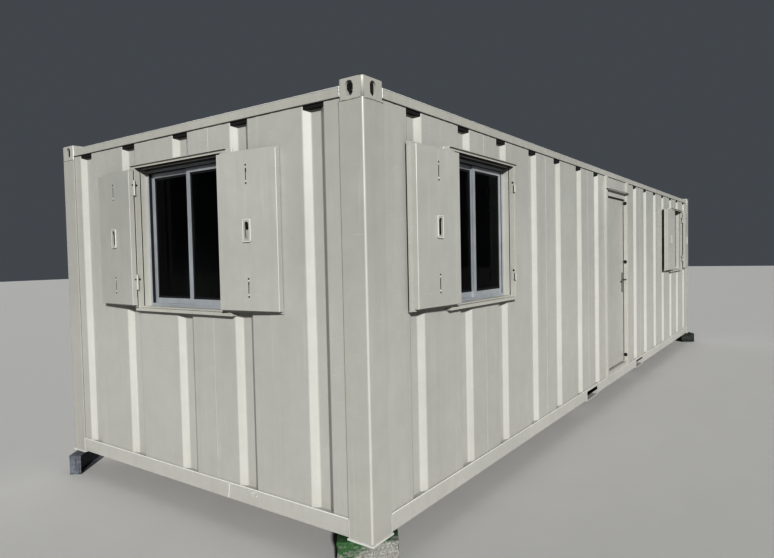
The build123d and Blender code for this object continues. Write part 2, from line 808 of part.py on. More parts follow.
# Door frame: two box posts, a head and a stop behind the leaf, with the fixed halves of the door hinges
door_leaf_left = door_left + door_hinge_gap
door_leaf_right = door_right - door_latch_gap
z_leaf = z_threshold + door_threshold_gap
z_leaf_top = z_door_head - door_head_gap
stop_front = door_inset + door_thickness + door_hinge_gap
door_pin_x = door_leaf_left + door_pin_from_leaf
door_pin_y = y_front + door_pin_inset
door_knuckle = (door_hinge_height - hinge_split) / 2
lowest_door_hinge = z_leaf + door_hinge_above_foot
highest_door_hinge = z_leaf_top - door_hinge_below_top
door_hinge_middles = (lowest_door_hinge, (lowest_door_hinge + highest_door_hinge) / 2, highest_door_hinge)
with BuildPart() as door_frame:
    with BuildSketch(Plane.XY.offset(z_wall)):
        for middle in door_post_middles:
            with Locations((middle, y_front + (lining_back - door_post_proud) / 2)):
                Rectangle(door_post_width, lining_back + door_post_proud)
                Rectangle(
                    door_post_width - 2 * door_tube_wall,
                    lining_back + door_post_proud - 2 * door_tube_wall,
                    mode=Mode.SUBTRACT,
                )
    extrude(amount=wall_height)
    with BuildSketch(Plane.YZ.offset(door_left)):
        with Locations((y_front + (flat_inset + lining_back) / 2, (z_door_head + z_door_head_top) / 2)):
            Rectangle(lining_back - flat_inset, door_head_depth)
            Rectangle(
                lining_back - flat_inset - 2 * door_tube_wall, door_head_depth - 2 * door_tube_wall, mode=Mode.SUBTRACT
            )
    extrude(amount=door_opening)
    with BuildSketch(Plane.XZ.offset(-y_front - stop_front)):
        with Locations((door_middle, (z_floor + z_door_head) / 2)):
            Rectangle(door_opening, z_door_head - z_floor)
        with Locations((door_middle, (z_floor + z_door_head - door_stop) / 2)):
            Rectangle(door_opening - 2 * door_stop, z_door_head - z_floor - door_stop, mode=Mode.SUBTRACT)
    extrude(amount=-door_stop_depth)
    for middle in door_hinge_middles:
        with BuildSketch(Plane.XY.offset(middle - door_hinge_height / 2)):
            with Locations((door_left + hinge_plate / 2, door_pin_y)):
                Rectangle(hinge_plate, door_hinge_plate_length)
            with Locations((door_pin_x, door_pin_y)):
                Circle(door_hinge_radius)
        extrude(amount=door_knuckle)
door_frame.part.label = "door_frame"
export_step(door_frame.part, "parts/door_frame.step")

# Door leaf with the moving halves of its hinges
with BuildPart() as door_leaf:
    with BuildSketch(Plane.XZ.offset(-y_front - door_inset)):
        with Locations(((door_leaf_left + door_leaf_right) / 2, (z_leaf + z_leaf_top) / 2)):
            Rectangle(door_leaf_right - door_leaf_left, z_leaf_top - z_leaf)
    extrude(amount=-door_thickness)
    for middle in door_hinge_middles:
        with BuildSketch(Plane.XY.offset(middle + hinge_split / 2)):
            with Locations((door_pin_x, door_pin_y)):
                Circle(door_hinge_radius)
            with Locations(
                (door_pin_x + door_hinge_plate_length / 2, y_front + door_inset - door_hinge_plate / 2)
            ):
                Rectangle(door_hinge_plate_length, door_hinge_plate)
        extrude(amount=door_knuckle)
door_leaf.part.label = "door_leaf"
export_step(door_leaf.part, "parts/door_leaf.step")

# Door handle: a backplate and a bent lever on each face of the leaf
handle_x = door_leaf_right - backplate_from_edge
z_handle = z_base + handle_height
lever_height = z_handle + lever_rise
handle_face = Plane.XZ.offset(-y_front - door_inset)
with BuildPart() as door_handle:
    with BuildSketch(handle_face) as backplate:
        with Locations((handle_x, z_handle)):
            Rectangle(backplate_width, backplate_height)
        chamfer(backplate.vertices(), backplate_width / 8)
    extrude(amount=backplate_thickness)
    with BuildLine(Plane.XY.offset(lever_height)) as lever_path:
        FilletPolyline(
            (handle_x, y_front + door_inset - backplate_thickness / 2),
            (handle_x, y_front + door_inset - lever_reach),
            (handle_x - lever_length, y_front + door_inset - lever_reach),
            radius=lever_thickness,
        )
    with BuildSketch(Plane(origin=lever_path.line @ 0, z_dir=lever_path.line % 0)) as lever_section:
        Rectangle(lever_thickness, lever_thickness)
        chamfer(lever_section.vertices(), lever_thickness / 5)
    sweep(path=lever_path.line)
    mirror(about=handle_face.offset(-door_thickness / 2))
door_handle.part.label = "door_handle"
export_step(door_handle.part, "parts/door_handle.step")

# Threshold under the door with two drain grooves
threshold_face = y_front + rail_inset
with BuildPart() as threshold:
    with BuildSketch(Plane.YZ.offset(door_left)):
        with Locations((y_front + (rail_inset + floor_inset) / 2, z_wall + threshold_height / 2)):
            Rectangle(floor_inset - rail_inset, threshold_height)
        for groove in threshold_groove_heights:
            with Locations((threshold_face + threshold_groove / 2, z_wall + groove)):
                Rectangle(threshold_groove, threshold_groove, mode=Mode.SUBTRACT)
    extrude(amount=door_opening)
threshold.part.label = "threshold"
export_step(threshold.part, "parts/threshold.step")

# Sloped drip bar over the door
bar_back = y_front - door_post_proud
z_bar = z_door_head_top
with BuildPart() as drip_bar:
    with BuildSketch(Plane.YZ.offset(frame_left)):
        with BuildLine():
            Polyline(
                (bar_back, z_bar),
                (bar_back, z_bar + drip_bar_height),
                (bar_back - drip_bar_depth, z_bar + drip_bar_height - drip_bar_slope),
                (bar_back - drip_bar_depth, z_bar - drip_bar_slope),
                close=True,
            )
        make_face()
    extrude(amount=frame_right - frame_left)
drip_bar.part.label = "drip_bar"
export_step(drip_bar.part, "parts/drip_bar.step")

# Flat round studs on the latch post's reveal
with BuildPart() as jamb_studs:
    with BuildSketch(Plane.YZ.offset(door_right)):
        for height in (z_wall + stud_above_rail, *(z_door_head - drop for drop in studs_below_head)):
            with Locations((y_front + stud_inset, height)):
                Circle(stud_diameter / 2)
    extrude(amount=-stud_thickness)
jamb_studs.part.label = "jamb_studs"
export_step(jamb_studs.part, "parts/jamb_studs.step")

# Timber blocks under the two front corners
near_turn = radians(near_block_turn)
near_place = (
    x_left + near_block_behind_end - sin(near_turn) * block_depth / 2,
    y_front + near_block_behind_front + cos(near_turn) * block_depth / 2,
)
far_turn = radians(far_block_turn)
far_reach_x = (block_length * cos(far_turn) + block_depth * sin(far_turn)) / 2
far_reach_y = (block_length * sin(far_turn) + block_depth * cos(far_turn)) / 2
far_place = (x_right + support_reach - far_reach_x, y_front - support_reach + far_reach_y)
with BuildPart() as timber_blocks:
    for place, turn in ((near_place, near_block_turn), (far_place, far_block_turn)):
        with BuildSketch(Plane.XY):
            with Locations(place):
                Rectangle(block_length, block_depth, rotation=turn)
        extrude(amount=support_height)
timber_blocks.part.label = "timber_blocks"
export_step(timber_blocks.part, "parts/timber_blocks.step")

# Steel beam offcuts under the two back corners
beam_angle = radians(beam_turn)
beam_x = x_left - support_reach + (beam_length * cos(beam_angle) + beam_width * sin(beam_angle)) / 2
beam_y = y_back + support_reach - (beam_length * sin(beam_angle) + beam_width * cos(beam_angle)) / 2
beam_end = Plane(
    origin=(beam_x - beam_length / 2 * cos(beam_angle), beam_y - beam_length / 2 * sin(beam_angle), 0),
    x_dir=(-sin(beam_angle), cos(beam_angle), 0),
    z_dir=(cos(beam_angle), sin(beam_angle), 0),
)
with BuildPart() as beam_offcuts:
    with BuildSketch(beam_end):
        with Locations((0, beam_flange / 2), (0, support_height - beam_flange / 2)):
            Rectangle(beam_width, beam_flange)
        with Locations((0, support_height / 2)):
            Rectangle(beam_web, support_height - beam_flange)
    extrude(amount=beam_length)
    mirror(about=Plane.YZ)
beam_offcuts.part.label = "beam_offcuts"
export_step(beam_offcuts.part, "parts/beam_offcuts.step")
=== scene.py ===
import bmesh
import bpy
import math
from mathutils import Matrix, Vector, noise


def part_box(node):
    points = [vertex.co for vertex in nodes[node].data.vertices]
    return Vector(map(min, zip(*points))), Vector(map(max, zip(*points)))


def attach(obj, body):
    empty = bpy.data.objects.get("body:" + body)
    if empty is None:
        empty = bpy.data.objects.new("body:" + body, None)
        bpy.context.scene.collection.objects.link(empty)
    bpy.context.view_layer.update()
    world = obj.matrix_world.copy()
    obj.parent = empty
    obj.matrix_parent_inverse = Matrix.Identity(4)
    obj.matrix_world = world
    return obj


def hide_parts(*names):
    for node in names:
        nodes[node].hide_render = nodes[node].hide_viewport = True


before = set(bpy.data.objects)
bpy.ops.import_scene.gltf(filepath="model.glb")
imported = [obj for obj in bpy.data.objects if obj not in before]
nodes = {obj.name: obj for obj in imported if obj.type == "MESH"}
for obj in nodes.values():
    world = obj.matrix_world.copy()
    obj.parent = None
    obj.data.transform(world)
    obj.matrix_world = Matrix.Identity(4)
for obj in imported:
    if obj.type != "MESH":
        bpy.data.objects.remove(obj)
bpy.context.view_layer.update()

# Packing blocks: two blocks sawn from old painted timber lie loose under the two front corners.
# Their green paint is worn through to grey wood and their edges are bruised. The far one is painted much darker, as
# painted shade.


def add(tree, kind, inputs=None, **settings):
    """One node with its settings and plain socket values."""
    made = tree.nodes.new(kind)
    for key, value in settings.items():
        setattr(made, key, value)
    for key, value in (inputs or {}).items():
        made.inputs[key].default_value = value
    return made


def feed(tree, socket, value):
    """Sets a socket from another socket or from a plain value."""
    if isinstance(value, bpy.types.NodeSocket):
        tree.links.new(value, socket)
    else:
        socket.default_value = value


def blend_colour(tree, factor, low, high, mode="MIX"):
    """A colour mix whose three inputs may each be a socket or a value."""
    mix = add(tree, "ShaderNodeMix", data_type="RGBA", blend_type=mode)
    for index, value in ((0, factor), (6, low), (7, high)):
        feed(tree, mix.inputs[index], value)
    return mix.outputs[2]


def calc(tree, operation, *values, clamp=False):
    """One sum whose inputs may each be a socket or a number."""
    made = add(tree, "ShaderNodeMath", operation=operation, use_clamp=clamp)
    for index, value in enumerate(values):
        feed(tree, made.inputs[index], value)
    return made.outputs[0]


def spread(tree, value, low, high, to_low=0.0, to_high=1.0):
    """Maps a value from one range to another and stops at its ends."""
    made = add(tree, "ShaderNodeMapRange", {"From Min": low, "From Max": high, "To Min": to_low, "To Max": to_high})
    tree.links.new(value, made.inputs["Value"])
    return made.outputs[0]


def grain(tree, vector, scale, detail=3.0, rough=0.5):
    """Noise over a vector, as a value."""
    made = add(tree, "ShaderNodeTexNoise", {"Scale": scale, "Detail": detail, "Roughness": rough})
    tree.links.new(vector, made.inputs["Vector"])
    return made.outputs["Fac"]


def stretch(tree, vector, scale, turn=(0.0, 0.0, 0.0)):
    """A turned and stretched copy of a vector."""
    made = add(tree, "ShaderNodeMapping", {"Scale": scale, "Rotation": turn})
    tree.links.new(vector, made.inputs["Vector"])
    return made.outputs["Vector"]


def new_finish(name, metal=0.0):
    """An empty finish, with its tree, its shader and the object's own place."""
    finish = bpy.data.materials.new(name)
    finish.use_nodes = True
    tree = finish.node_tree
    shader = tree.nodes["Principled BSDF"]
    shader.inputs["Metallic"].default_value = metal
    return finish, tree, shader, add(tree, "ShaderNodeTexCoord").outputs["Object"]


def press_in(tree, shader, height, distance):
    """Relief from a height that varies over the surface."""
    relief = add(tree, "ShaderNodeBump", {"Strength": 1.0, "Distance": distance})
    tree.links.new(height, relief.inputs["Height"])
    tree.links.new(relief.outputs["Normal"], shader.inputs["Normal"])


def settle(piece):
    """Turns a piece's modifiers into its plain mesh."""
    graph = bpy.context.evaluated_depsgraph_get()
    shaped = bpy.data.meshes.new_from_object(
        piece.evaluated_get(graph), preserve_all_data_layers=True, depsgraph=graph)
    piece.modifiers.clear()
    piece.data = shaped
    return piece


def place(name, mesh, body):
    """Puts a finished mesh on a body as a piece."""
    piece = bpy.data.objects.new(name, mesh)
    bpy.context.collection.objects.link(piece)
    settled = settle(piece)
    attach(settled, body)
    return settled


def joined(node):
    """A CAD node's loose facets joined into whole faces, ready to shape."""
    work = bmesh.new()
    work.from_mesh(nodes[node].data)
    bmesh.ops.remove_doubles(work, verts=work.verts, dist=2e-5)
    bmesh.ops.dissolve_limit(work, angle_limit=math.radians(1), verts=work.verts, edges=work.edges)
    return work


timber_arris, timber_step, timber_cuts = 0.006, 0.016, 14
timber_middle, timber_foot, timber_crown = 0.075, 0.010, 0.142
worn_belt, bruise_scale, bruise_depth = 0.055, 22, 0.009
timber_green, tree, shader, here = new_finish("timber_green")
fibre = grain(tree, stretch(tree, here, (18.0, 120.0, 120.0), (0.0, 0.0, 0.9)), 1.0, 6.0, 0.6)
patch = grain(tree, stretch(tree, here, (5.0, 5.0, 11.0)), 1.0, 7.0, 0.66)
split = add(tree, "ShaderNodeSeparateXYZ")
tree.links.new(here, split.inputs["Vector"])
off_middle = calc(tree, "ABSOLUTE", calc(tree, "SUBTRACT", split.outputs["Z"], timber_middle))
belt = calc(tree, "SUBTRACT", worn_belt, off_middle)
worn = spread(tree, calc(tree, "ADD", patch, calc(tree, "MULTIPLY", belt, 2.2)), 0.52, 0.60)
green = blend_colour(tree, spread(tree, fibre, 0.3, 0.7), (0.012, 0.040, 0.014, 1), (0.055, 0.150, 0.050, 1))
wood = blend_colour(tree, spread(tree, fibre, 0.25, 0.75), (0.075, 0.072, 0.062, 1), (0.36, 0.355, 0.33, 1))
# Painted shade: the colour is darkened about six-fold towards the far block, which lies at positive x.
far_block_shade = spread(tree, split.outputs["X"], 0.0, 1.0, 1.0, 0.16)
timber_tone = blend_colour(tree, 1.0, blend_colour(tree, worn, green, wood), far_block_shade, "MULTIPLY")
tree.links.new(timber_tone, shader.inputs["Base Color"])
tree.links.new(spread(tree, fibre, 0.3, 0.7, 0.62, 0.92), shader.inputs["Roughness"])
press_in(tree, shader, calc(tree, "ADD", fibre, calc(tree, "MULTIPLY", worn, -0.8)), 0.004)

work = joined("timber_blocks")
bmesh.ops.bevel(work, geom=work.edges[:], offset=timber_arris, segments=2, affect="EDGES", profile=0.6)
long_edges = [edge for edge in work.edges if edge.calc_length() > timber_step * 2]
bmesh.ops.subdivide_edges(work, edges=long_edges, cuts=timber_cuts, use_grid_fill=True)
work.normal_update()
for vert in work.verts:
    bruise = noise.fractal(vert.co * bruise_scale, 1.0, 2.0, 4)
    pressed_flat = vert.co.z > timber_crown or vert.co.z < timber_foot
    vert.co -= vert.normal * max(0.0, bruise) * bruise_depth * (0.25 if pressed_flat else 1.0)
bmesh.ops.triangulate(work, faces=work.faces[:])
# Subdividing leaves the faces in an order that changes from run to run, so they are laid out in a fixed one.
work.verts.index_update()
facets = []
for face in work.faces:
    turn = [vert.index for vert in face.verts]
    first = turn.index(min(turn))
    facets.append(turn[first:] + turn[:first])
mesh = bpy.data.meshes.new("packing_timbers")
mesh.from_pydata([vert.co[:] for vert in work.verts], [], sorted(facets))
mesh.shade_smooth()
work.free()
mesh.materials.append(timber_green)
timbers = place("packing_timbers", mesh, "cabin")
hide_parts("timber_blocks")

# Beam offcuts: two short lengths of painted steel I-beam lie on their flanges under the two back corners.
# A stiffener plate closes one end of each, and their dark paint has gone dull and rusty on the edges.
beam_paint, tree, shader, here = new_finish("beam_paint")
dirt = grain(tree, here, 14.0, 7.0, 0.68)
scale_rust = spread(tree, grain(tree, here, 42.0, 5.0, 0.6), 0.56, 0.66)
tone = blend_colour(tree, spread(tree, dirt, 0.3, 0.7), (0.035, 0.041, 0.052, 1), (0.150, 0.163, 0.182, 1))
tree.links.new(blend_colour(tree, scale_rust, tone, (0.090, 0.045, 0.022, 1)), shader.inputs["Base Color"])
tree.links.new(spread(tree, dirt, 0.3, 0.7, 0.38, 0.75), shader.inputs["Roughness"])
press_in(tree, shader, calc(tree, "ADD", dirt, scale_rust), 0.0015)


def coat(finish, *names):
    """Gives CAD nodes a finish."""
    for name in names:
        for held in nodes[name].material_slots:
            held.material = finish


coat(beam_paint, "beam_offcuts")


def bar(work, low, high, edge):
    """Adds one bar with chamfered edges between two corners."""
    made = bmesh.ops.create_cube(work, size=1)["verts"]
    for vert in made:
        vert.co = Vector((low[i] + high[i]) / 2 + vert.co[i] * (high[i] - low[i]) for i in range(3))
    sides = list({side for vert in made for side in vert.link_edges})
    bmesh.ops.bevel(work, geom=sides, offset=edge, segments=1, affect="EDGES")


beam_turn, beam_half, beam_flange, beam_top = math.radians(38), 0.0435, 0.008, 0.142
stiffener_half, stiffener_x, stiffener_y = 0.002, 4.9636, 1.3489
stiffeners = bpy.data.meshes.new("beam_stiffeners")
work = bmesh.new()
for side in (-1, 1):
    plate = bmesh.new()
    bar(plate, (-stiffener_half, -beam_half, beam_flange), (stiffener_half, beam_half, beam_top), 0.0005)
    beam_way = beam_turn if side < 0 else math.pi - beam_turn
    plate.transform(Matrix.Translation((side * stiffener_x, stiffener_y, 0)) @ Matrix.Rotation(beam_way, 4, "Z"))
    plate.to_mesh(stiffeners)
    plate.free()
    work.from_mesh(stiffeners)
work.to_mesh(stiffeners)
work.free()
stiffeners.materials.append(beam_paint)
place("beam_stiffeners", stiffeners, "cabin")

# Bottom frame: pressed steel rails run between the corner posts, which stand on thick base plates.
# Joists carry the floor, and two fork pockets pass through the side rails. All is welded, then sprayed grey.


def share(name, sockets):
    """An empty shader node group with its inputs and outputs, for an effect that several finishes use."""
    tree = bpy.data.node_groups.new(name, "ShaderNodeTree")
    for label, way, kind, value in sockets:
        socket = tree.interface.new_socket(name=label, in_out=way, socket_type=kind)
        if value is not None:
            socket.default_value = value
    return tree, tree.nodes.new("NodeGroupInput"), tree.nodes.new("NodeGroupOutput")


weather, w_in, w_out = share("yard_weather", [
    ("Paint", "INPUT", "NodeSocketColor", (0.5, 0.5, 0.48, 1)),
    ("Dust", "INPUT", "NodeSocketColor", (0.36, 0.32, 0.27, 1)),
    ("Streaks", "INPUT", "NodeSocketFloat", 0.5),
    ("Splash", "INPUT", "NodeSocketFloat", 0.5),
    ("Gloss", "INPUT", "NodeSocketFloat", 0.4),
    ("Rust", "INPUT", "NodeSocketFloat", 0.2),
    ("Color", "OUTPUT", "NodeSocketColor", None),
    ("Roughness", "OUTPUT", "NodeSocketFloat", None),
    ("Height", "OUTPUT", "NodeSocketFloat", None),
])
here = add(weather, "ShaderNodeTexCoord").outputs["Object"]
split = add(weather, "ShaderNodeSeparateXYZ")
weather.links.new(here, split.inputs["Vector"])
tone = spread(weather, grain(weather, here, 0.8, 4.0), 0.3, 0.7, 0.95, 1.04)
mottle = spread(weather, grain(weather, here, 9.0, 6.0, 0.6), 0.3, 0.7, 0.972, 1.022)
toned = blend_colour(weather, 1.0, w_in.outputs["Paint"], calc(weather, "MULTIPLY", tone, mottle), "MULTIPLY")
run = spread(weather, grain(weather, stretch(weather, here, (11.0, 11.0, 0.55)), 1.0, 5.0, 0.62), 0.52, 0.80)
run = calc(weather, "MULTIPLY", run, calc(weather, "MULTIPLY", w_in.outputs["Streaks"], 0.34))
streaked = blend_colour(weather, run, toned, (0.27, 0.25, 0.21, 1))
chalk = spread(weather, grain(weather, stretch(weather, here, (31.0, 31.0, 1.3)), 1.0, 4.0, 0.6), 0.58, 0.82)
chalk = calc(weather, "MULTIPLY", chalk, calc(weather, "MULTIPLY", w_in.outputs["Streaks"], 0.22))
chalked = blend_colour(weather, chalk, streaked, (0.62, 0.62, 0.58, 1))
scratch = grain(weather, stretch(weather, here, (5.0, 5.0, 210.0), (0.35, 0.22, 0.0)), 1.0, 2.0, 0.4)
scratch = calc(weather, "MULTIPLY", spread(weather, scratch, 0.74, 0.78), 0.30)
scratched = blend_colour(weather, scratch, chalked, (0.58, 0.58, 0.56, 1))
near_ground = spread(weather, split.outputs["Z"], 0.22, 0.85, 1.0, 0.0)
spatter = spread(weather, grain(weather, here, 26.0, 8.0, 0.7), 0.35, 0.75)
low_dust = calc(weather, "MULTIPLY", calc(weather, "POWER", near_ground, 2.6), spatter)
low_dust = calc(weather, "MULTIPLY", low_dust, w_in.outputs["Splash"], clamp=True)
dusted = blend_colour(weather, low_dust, scratched, w_in.outputs["Dust"])
chip = spread(weather, grain(weather, here, 130.0, 2.0, 0.4), 0.765, 0.80)
bloom = spread(weather, grain(weather, here, 21.0, 7.0, 0.72), 0.66, 0.78)
chipped = calc(weather, "MULTIPLY", chip, 0.4)
rusty = calc(weather, "ADD", chipped, calc(weather, "MULTIPLY", bloom, w_in.outputs["Rust"]), clamp=True)
weather.links.new(blend_colour(weather, rusty, dusted, (0.16, 0.085, 0.045, 1)), w_out.inputs["Color"])
soiled = calc(weather, "MULTIPLY", calc(weather, "ADD", low_dust, rusty), 0.35)
dull = calc(weather, "ADD", w_in.outputs["Gloss"], soiled)
dull = calc(weather, "ADD", dull, spread(weather, grain(weather, here, 3.0, 3.0), 0.3, 0.7, -0.05, 0.07))
weather.links.new(dull, w_out.inputs["Roughness"])
peel = calc(weather, "MULTIPLY", grain(weather, here, 420.0, 2.0), 0.08)
wave = calc(weather, "MULTIPLY", grain(weather, here, 1.7, 2.0), 3.0)
pitted = calc(weather, "MULTIPLY", rusty, -0.15)
weather.links.new(calc(weather, "ADD", calc(weather, "ADD", peel, wave), pitted), w_out.inputs["Height"])


def painted(name, colour, streaks=0.5, splash=0.45, gloss=0.4, rust=0.15, bump=0.0012):
    """A sprayed steel finish that shares the yard weathering."""
    finish, tree, shader, _ = new_finish(name)
    weathering = add(tree, "ShaderNodeGroup", node_tree=weather)
    for label, value in (("Paint", colour), ("Streaks", streaks), ("Splash", splash),
                         ("Gloss", gloss), ("Rust", rust)):
        weathering.inputs[label].default_value = value
    tree.links.new(weathering.outputs["Color"], shader.inputs["Base Color"])
    tree.links.new(weathering.outputs["Roughness"], shader.inputs["Roughness"])
    press_in(tree, shader, weathering.outputs["Height"], bump)
    shader.inputs["Specular IOR Level"].default_value = 0.45
    return finish


def rounded(node, width, finish, body="cabin", pick=None, steps=2, turns=(20, 170)):
    """Replaces a CAD node by a copy of it whose picked edges are rolled to a real radius."""
    work = joined(node)
    weight = work.edges.layers.float.new("bevel_weight_edge")
    for edge in work.edges:
        turn = math.degrees(edge.calc_face_angle(0)) if len(edge.link_faces) == 2 else 0
        rolled = turns[0] < turn < turns[1] and (pick is None or pick(edge))
        edge[weight] = 1.0 if rolled else 0.0
    mesh = bpy.data.meshes.new(node + "_rolled")
    work.to_mesh(mesh)
    work.free()
    mesh.materials.clear()
    mesh.materials.append(finish)
    piece = bpy.data.objects.new(node + "_rolled", mesh)
    bpy.context.collection.objects.link(piece)
    bevel = piece.modifiers.new("rolled", "BEVEL")
    bevel.width = width
    bevel.segments = steps
    bevel.limit_method = "WEIGHT"
    bevel.use_clamp_overlap = False
    settle(piece)
    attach(piece, body)
    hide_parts(node)
    return piece


def longer(length):
    """Picks edges over a length."""
    return lambda edge: edge.calc_length() > length


def grow(name, sockets):
    """An empty geometry tree with named inputs for its sizes."""
    tree = bpy.data.node_groups.new(name, "GeometryNodeTree")
    tree.interface.new_socket(name="Geometry", in_out="INPUT", socket_type="NodeSocketGeometry")
    for label, kind, value in sockets:
        socket = tree.interface.new_socket(name=label, in_out="INPUT", socket_type=kind)
        if value is not None:
            socket.default_value = value
    tree.interface.new_socket(name="Geometry", in_out="OUTPUT", socket_type="NodeSocketGeometry")
    return tree, tree.nodes.new("NodeGroupInput"), tree.nodes.new("NodeGroupOutput")


def end_tree(tree, given, out, geometry):
    """Closes a geometry tree with real geometry in its finish."""
    real = add(tree, "GeometryNodeRealizeInstances")
    dressed = add(tree, "GeometryNodeSetMaterial")
    tree.links.new(geometry, real.inputs["Geometry"])
    tree.links.new(real.outputs["Geometry"], dressed.inputs["Geometry"])
    tree.links.new(given.outputs["Finish"], dressed.inputs["Material"])
    tree.links.new(dressed.outputs["Geometry"], out.inputs["Geometry"])


def grown(name, tree, mesh, finish, body, slot, **sizes):
    """A piece made by a geometry tree from a mesh of points or lines."""
    piece = bpy.data.objects.new(name, mesh)
    bpy.context.collection.objects.link(piece)
    modifier = piece.modifiers.new("grown", "NODES")
    modifier.node_group = tree
    sizes["Finish"] = finish
    for item in tree.interface.items_tree:
        if item.in_out == "INPUT" and item.name.replace(" ", "_") in sizes:
            modifier[item.identifier] = sizes[item.name.replace(" ", "_")]
    settle(piece)
    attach(piece, body)
    return piece


bead_tree, given, out = grow("bead_along", [
    ("Pitch", "NodeSocketFloat", 0.004),
    ("Radius", "NodeSocketFloat", 0.003),
    ("Ripple", "NodeSocketFloat", 0.3),
    ("Seed", "NodeSocketInt", 3),
    ("Finish", "NodeSocketMaterial", None),
])
line = add(bead_tree, "GeometryNodeMeshToCurve")
cut = add(bead_tree, "GeometryNodeResampleCurve", mode="LENGTH")
ring = add(bead_tree, "GeometryNodeCurvePrimitiveCircle", {"Resolution": 6})
swell = add(bead_tree, "FunctionNodeRandomValue", data_type="FLOAT")
low_swell = add(bead_tree, "ShaderNodeMath", {0: 1.0}, operation="SUBTRACT")
high_swell = add(bead_tree, "ShaderNodeMath", {0: 1.0}, operation="ADD")
tube = add(bead_tree, "GeometryNodeCurveToMesh", {"Fill Caps": True})
smooth = add(bead_tree, "GeometryNodeSetShadeSmooth")
for source, target in (
    (given.outputs["Geometry"], line.inputs["Mesh"]),
    (line.outputs["Curve"], cut.inputs["Curve"]),
    (given.outputs["Pitch"], cut.inputs["Length"]),
    (given.outputs["Radius"], ring.inputs["Radius"]),
    (given.outputs["Ripple"], low_swell.inputs[1]),
    (given.outputs["Ripple"], high_swell.inputs[1]),
    (low_swell.outputs[0], swell.inputs[2]),
    (high_swell.outputs[0], swell.inputs[3]),
    (given.outputs["Seed"], swell.inputs["Seed"]),
    (cut.outputs["Curve"], tube.inputs["Curve"]),
    (ring.outputs["Curve"], tube.inputs["Profile Curve"]),
    (swell.outputs[1], tube.inputs["Scale"]),
    (tube.outputs["Mesh"], smooth.inputs["Geometry"]),
):
    bead_tree.links.new(source, target)
end_tree(bead_tree, given, out, smooth.outputs["Geometry"])


def lines(runs):
    """A mesh of open runs, each a list of points."""
    points, edges = [], []
    for run in runs:
        start = len(points)
        points.extend(run)
        edges.extend((start + i, start + i + 1) for i in range(len(run) - 1))
    mesh = bpy.data.meshes.new("runs")
    mesh.from_pydata(points, edges, [])
    return mesh


half_length, half_width = 4.875, 1.525
post_x, post_y = half_length - 0.178, half_width - 0.160
z_foot, z_sheet, post_round = 0.162, 0.262, 0.012
corners = [(sx, sy) for sx in (-1, 1) for sy in (-1, 1)]


def along_walls(inset, height):
    """Runs between the corner posts along all four walls, at one height."""
    runs = []
    for side in (-1, 1):
        x, y = side * (half_length - inset), side * (half_width - inset)
        runs.append([(-post_x, y, height), (post_x, y, height)])
        runs.append([(x, -post_y, height), (x, post_y, height)])
    return runs


def beside_posts(inset, low, high):
    """Upright runs where the two walls meet each corner post."""
    runs = []
    for sx, sy in corners:
        x, y = sx * (half_length - inset), sy * (half_width - inset)
        runs.append([(sx * post_x, y, low), (sx * post_x, y, high)])
        runs.append([(x, sy * post_y, low), (x, sy * post_y, high)])
    return runs


low_grey = painted("bottom_rail_grey", (0.385, 0.382, 0.358, 1), streaks=0.5, splash=0.30, rust=0.35)
weld_grey = painted("weld_grey", (0.47, 0.468, 0.44, 1), streaks=0.1, splash=0.2, rust=0.5, bump=0.0003)
under_black = painted("under_black", (0.030, 0.029, 0.027, 1), streaks=0.2, gloss=0.7)
rounded("bottom_side_rails", 0.004, low_grey, pick=longer(0.9))
rounded("bottom_end_rails", 0.004, low_grey, pick=longer(0.9))
rounded("base_plates", 0.002, weld_grey)
coat(low_grey, "fork_pockets")
coat(under_black, "floor_joists")
rail_seams, rail_weld_in = [], 0.0015
for sx, sy in corners:
    weld_x, weld_y = sx * (half_length - rail_weld_in), sy * (half_width - rail_weld_in)
    round_x, round_y = sx * (half_length - post_round), sy * (half_width - post_round)
    rail_seams.append([(sx * post_x, weld_y, z_foot), (sx * post_x, weld_y, z_sheet)])
    rail_seams.append([(weld_x, sy * post_y, z_foot), (weld_x, sy * post_y, z_sheet)])
    rail_seams.append([(sx * post_x, sy * half_width, z_foot), (round_x, sy * half_width, z_foot)])
    rail_seams.append([(sx * half_length, sy * post_y, z_foot), (sx * half_length, round_y, z_foot)])
grown("bottom_frame_welds", bead_tree, lines(rail_seams), low_grey, "cabin", "grey_paint",
      Pitch=0.006, Radius=0.0035, Ripple=0.3, Seed=4)
# Painted highlight: a lighter grey bead along the top edge of the bottom rails.
lip_highlights = along_walls(inset=0.0055, height=z_sheet + 0.001)
lip_grey = painted("lip_grey", (0.53, 0.528, 0.50, 1), streaks=0.2, splash=0.1, rust=0.2, bump=0.0003)
grown("bottom_rail_lips", bead_tree, lines(lip_highlights), lip_grey, "cabin", "grey_paint",
      Pitch=0.02, Radius=0.0046, Ripple=0.12, Seed=6)
splice_y, splice_bow, splice_top, splice_fall, splice_steps = -0.392, 0.012, z_sheet - 0.004, 0.092, 6
rail_face_x = -4.873
spliced = [(rail_face_x - 0.0001, splice_y + splice_bow * (i / splice_steps) ** 2,
            splice_top - splice_fall * i / splice_steps) for i in range(splice_steps + 1)]
spatter_marks = [[(rail_face_x, y, z), (rail_face_x, y - run, z + rise)] for y, z, run, rise in (
    (-0.566, 0.250, 0.010, 0.002), (-0.589, 0.238, 0.014, 0.004), (-0.612, 0.246, 0.010, -0.008),
    (-0.603, 0.224, 0.008, 0.006), (-0.628, 0.252, 0.012, 0.001), (-0.642, 0.232, 0.006, -0.006))]
grown("end_rail_splice", bead_tree, lines([spliced] + spatter_marks), weld_grey, "cabin", "grey_paint",
      Pitch=0.004, Radius=0.0032, Ripple=0.45, Seed=9)

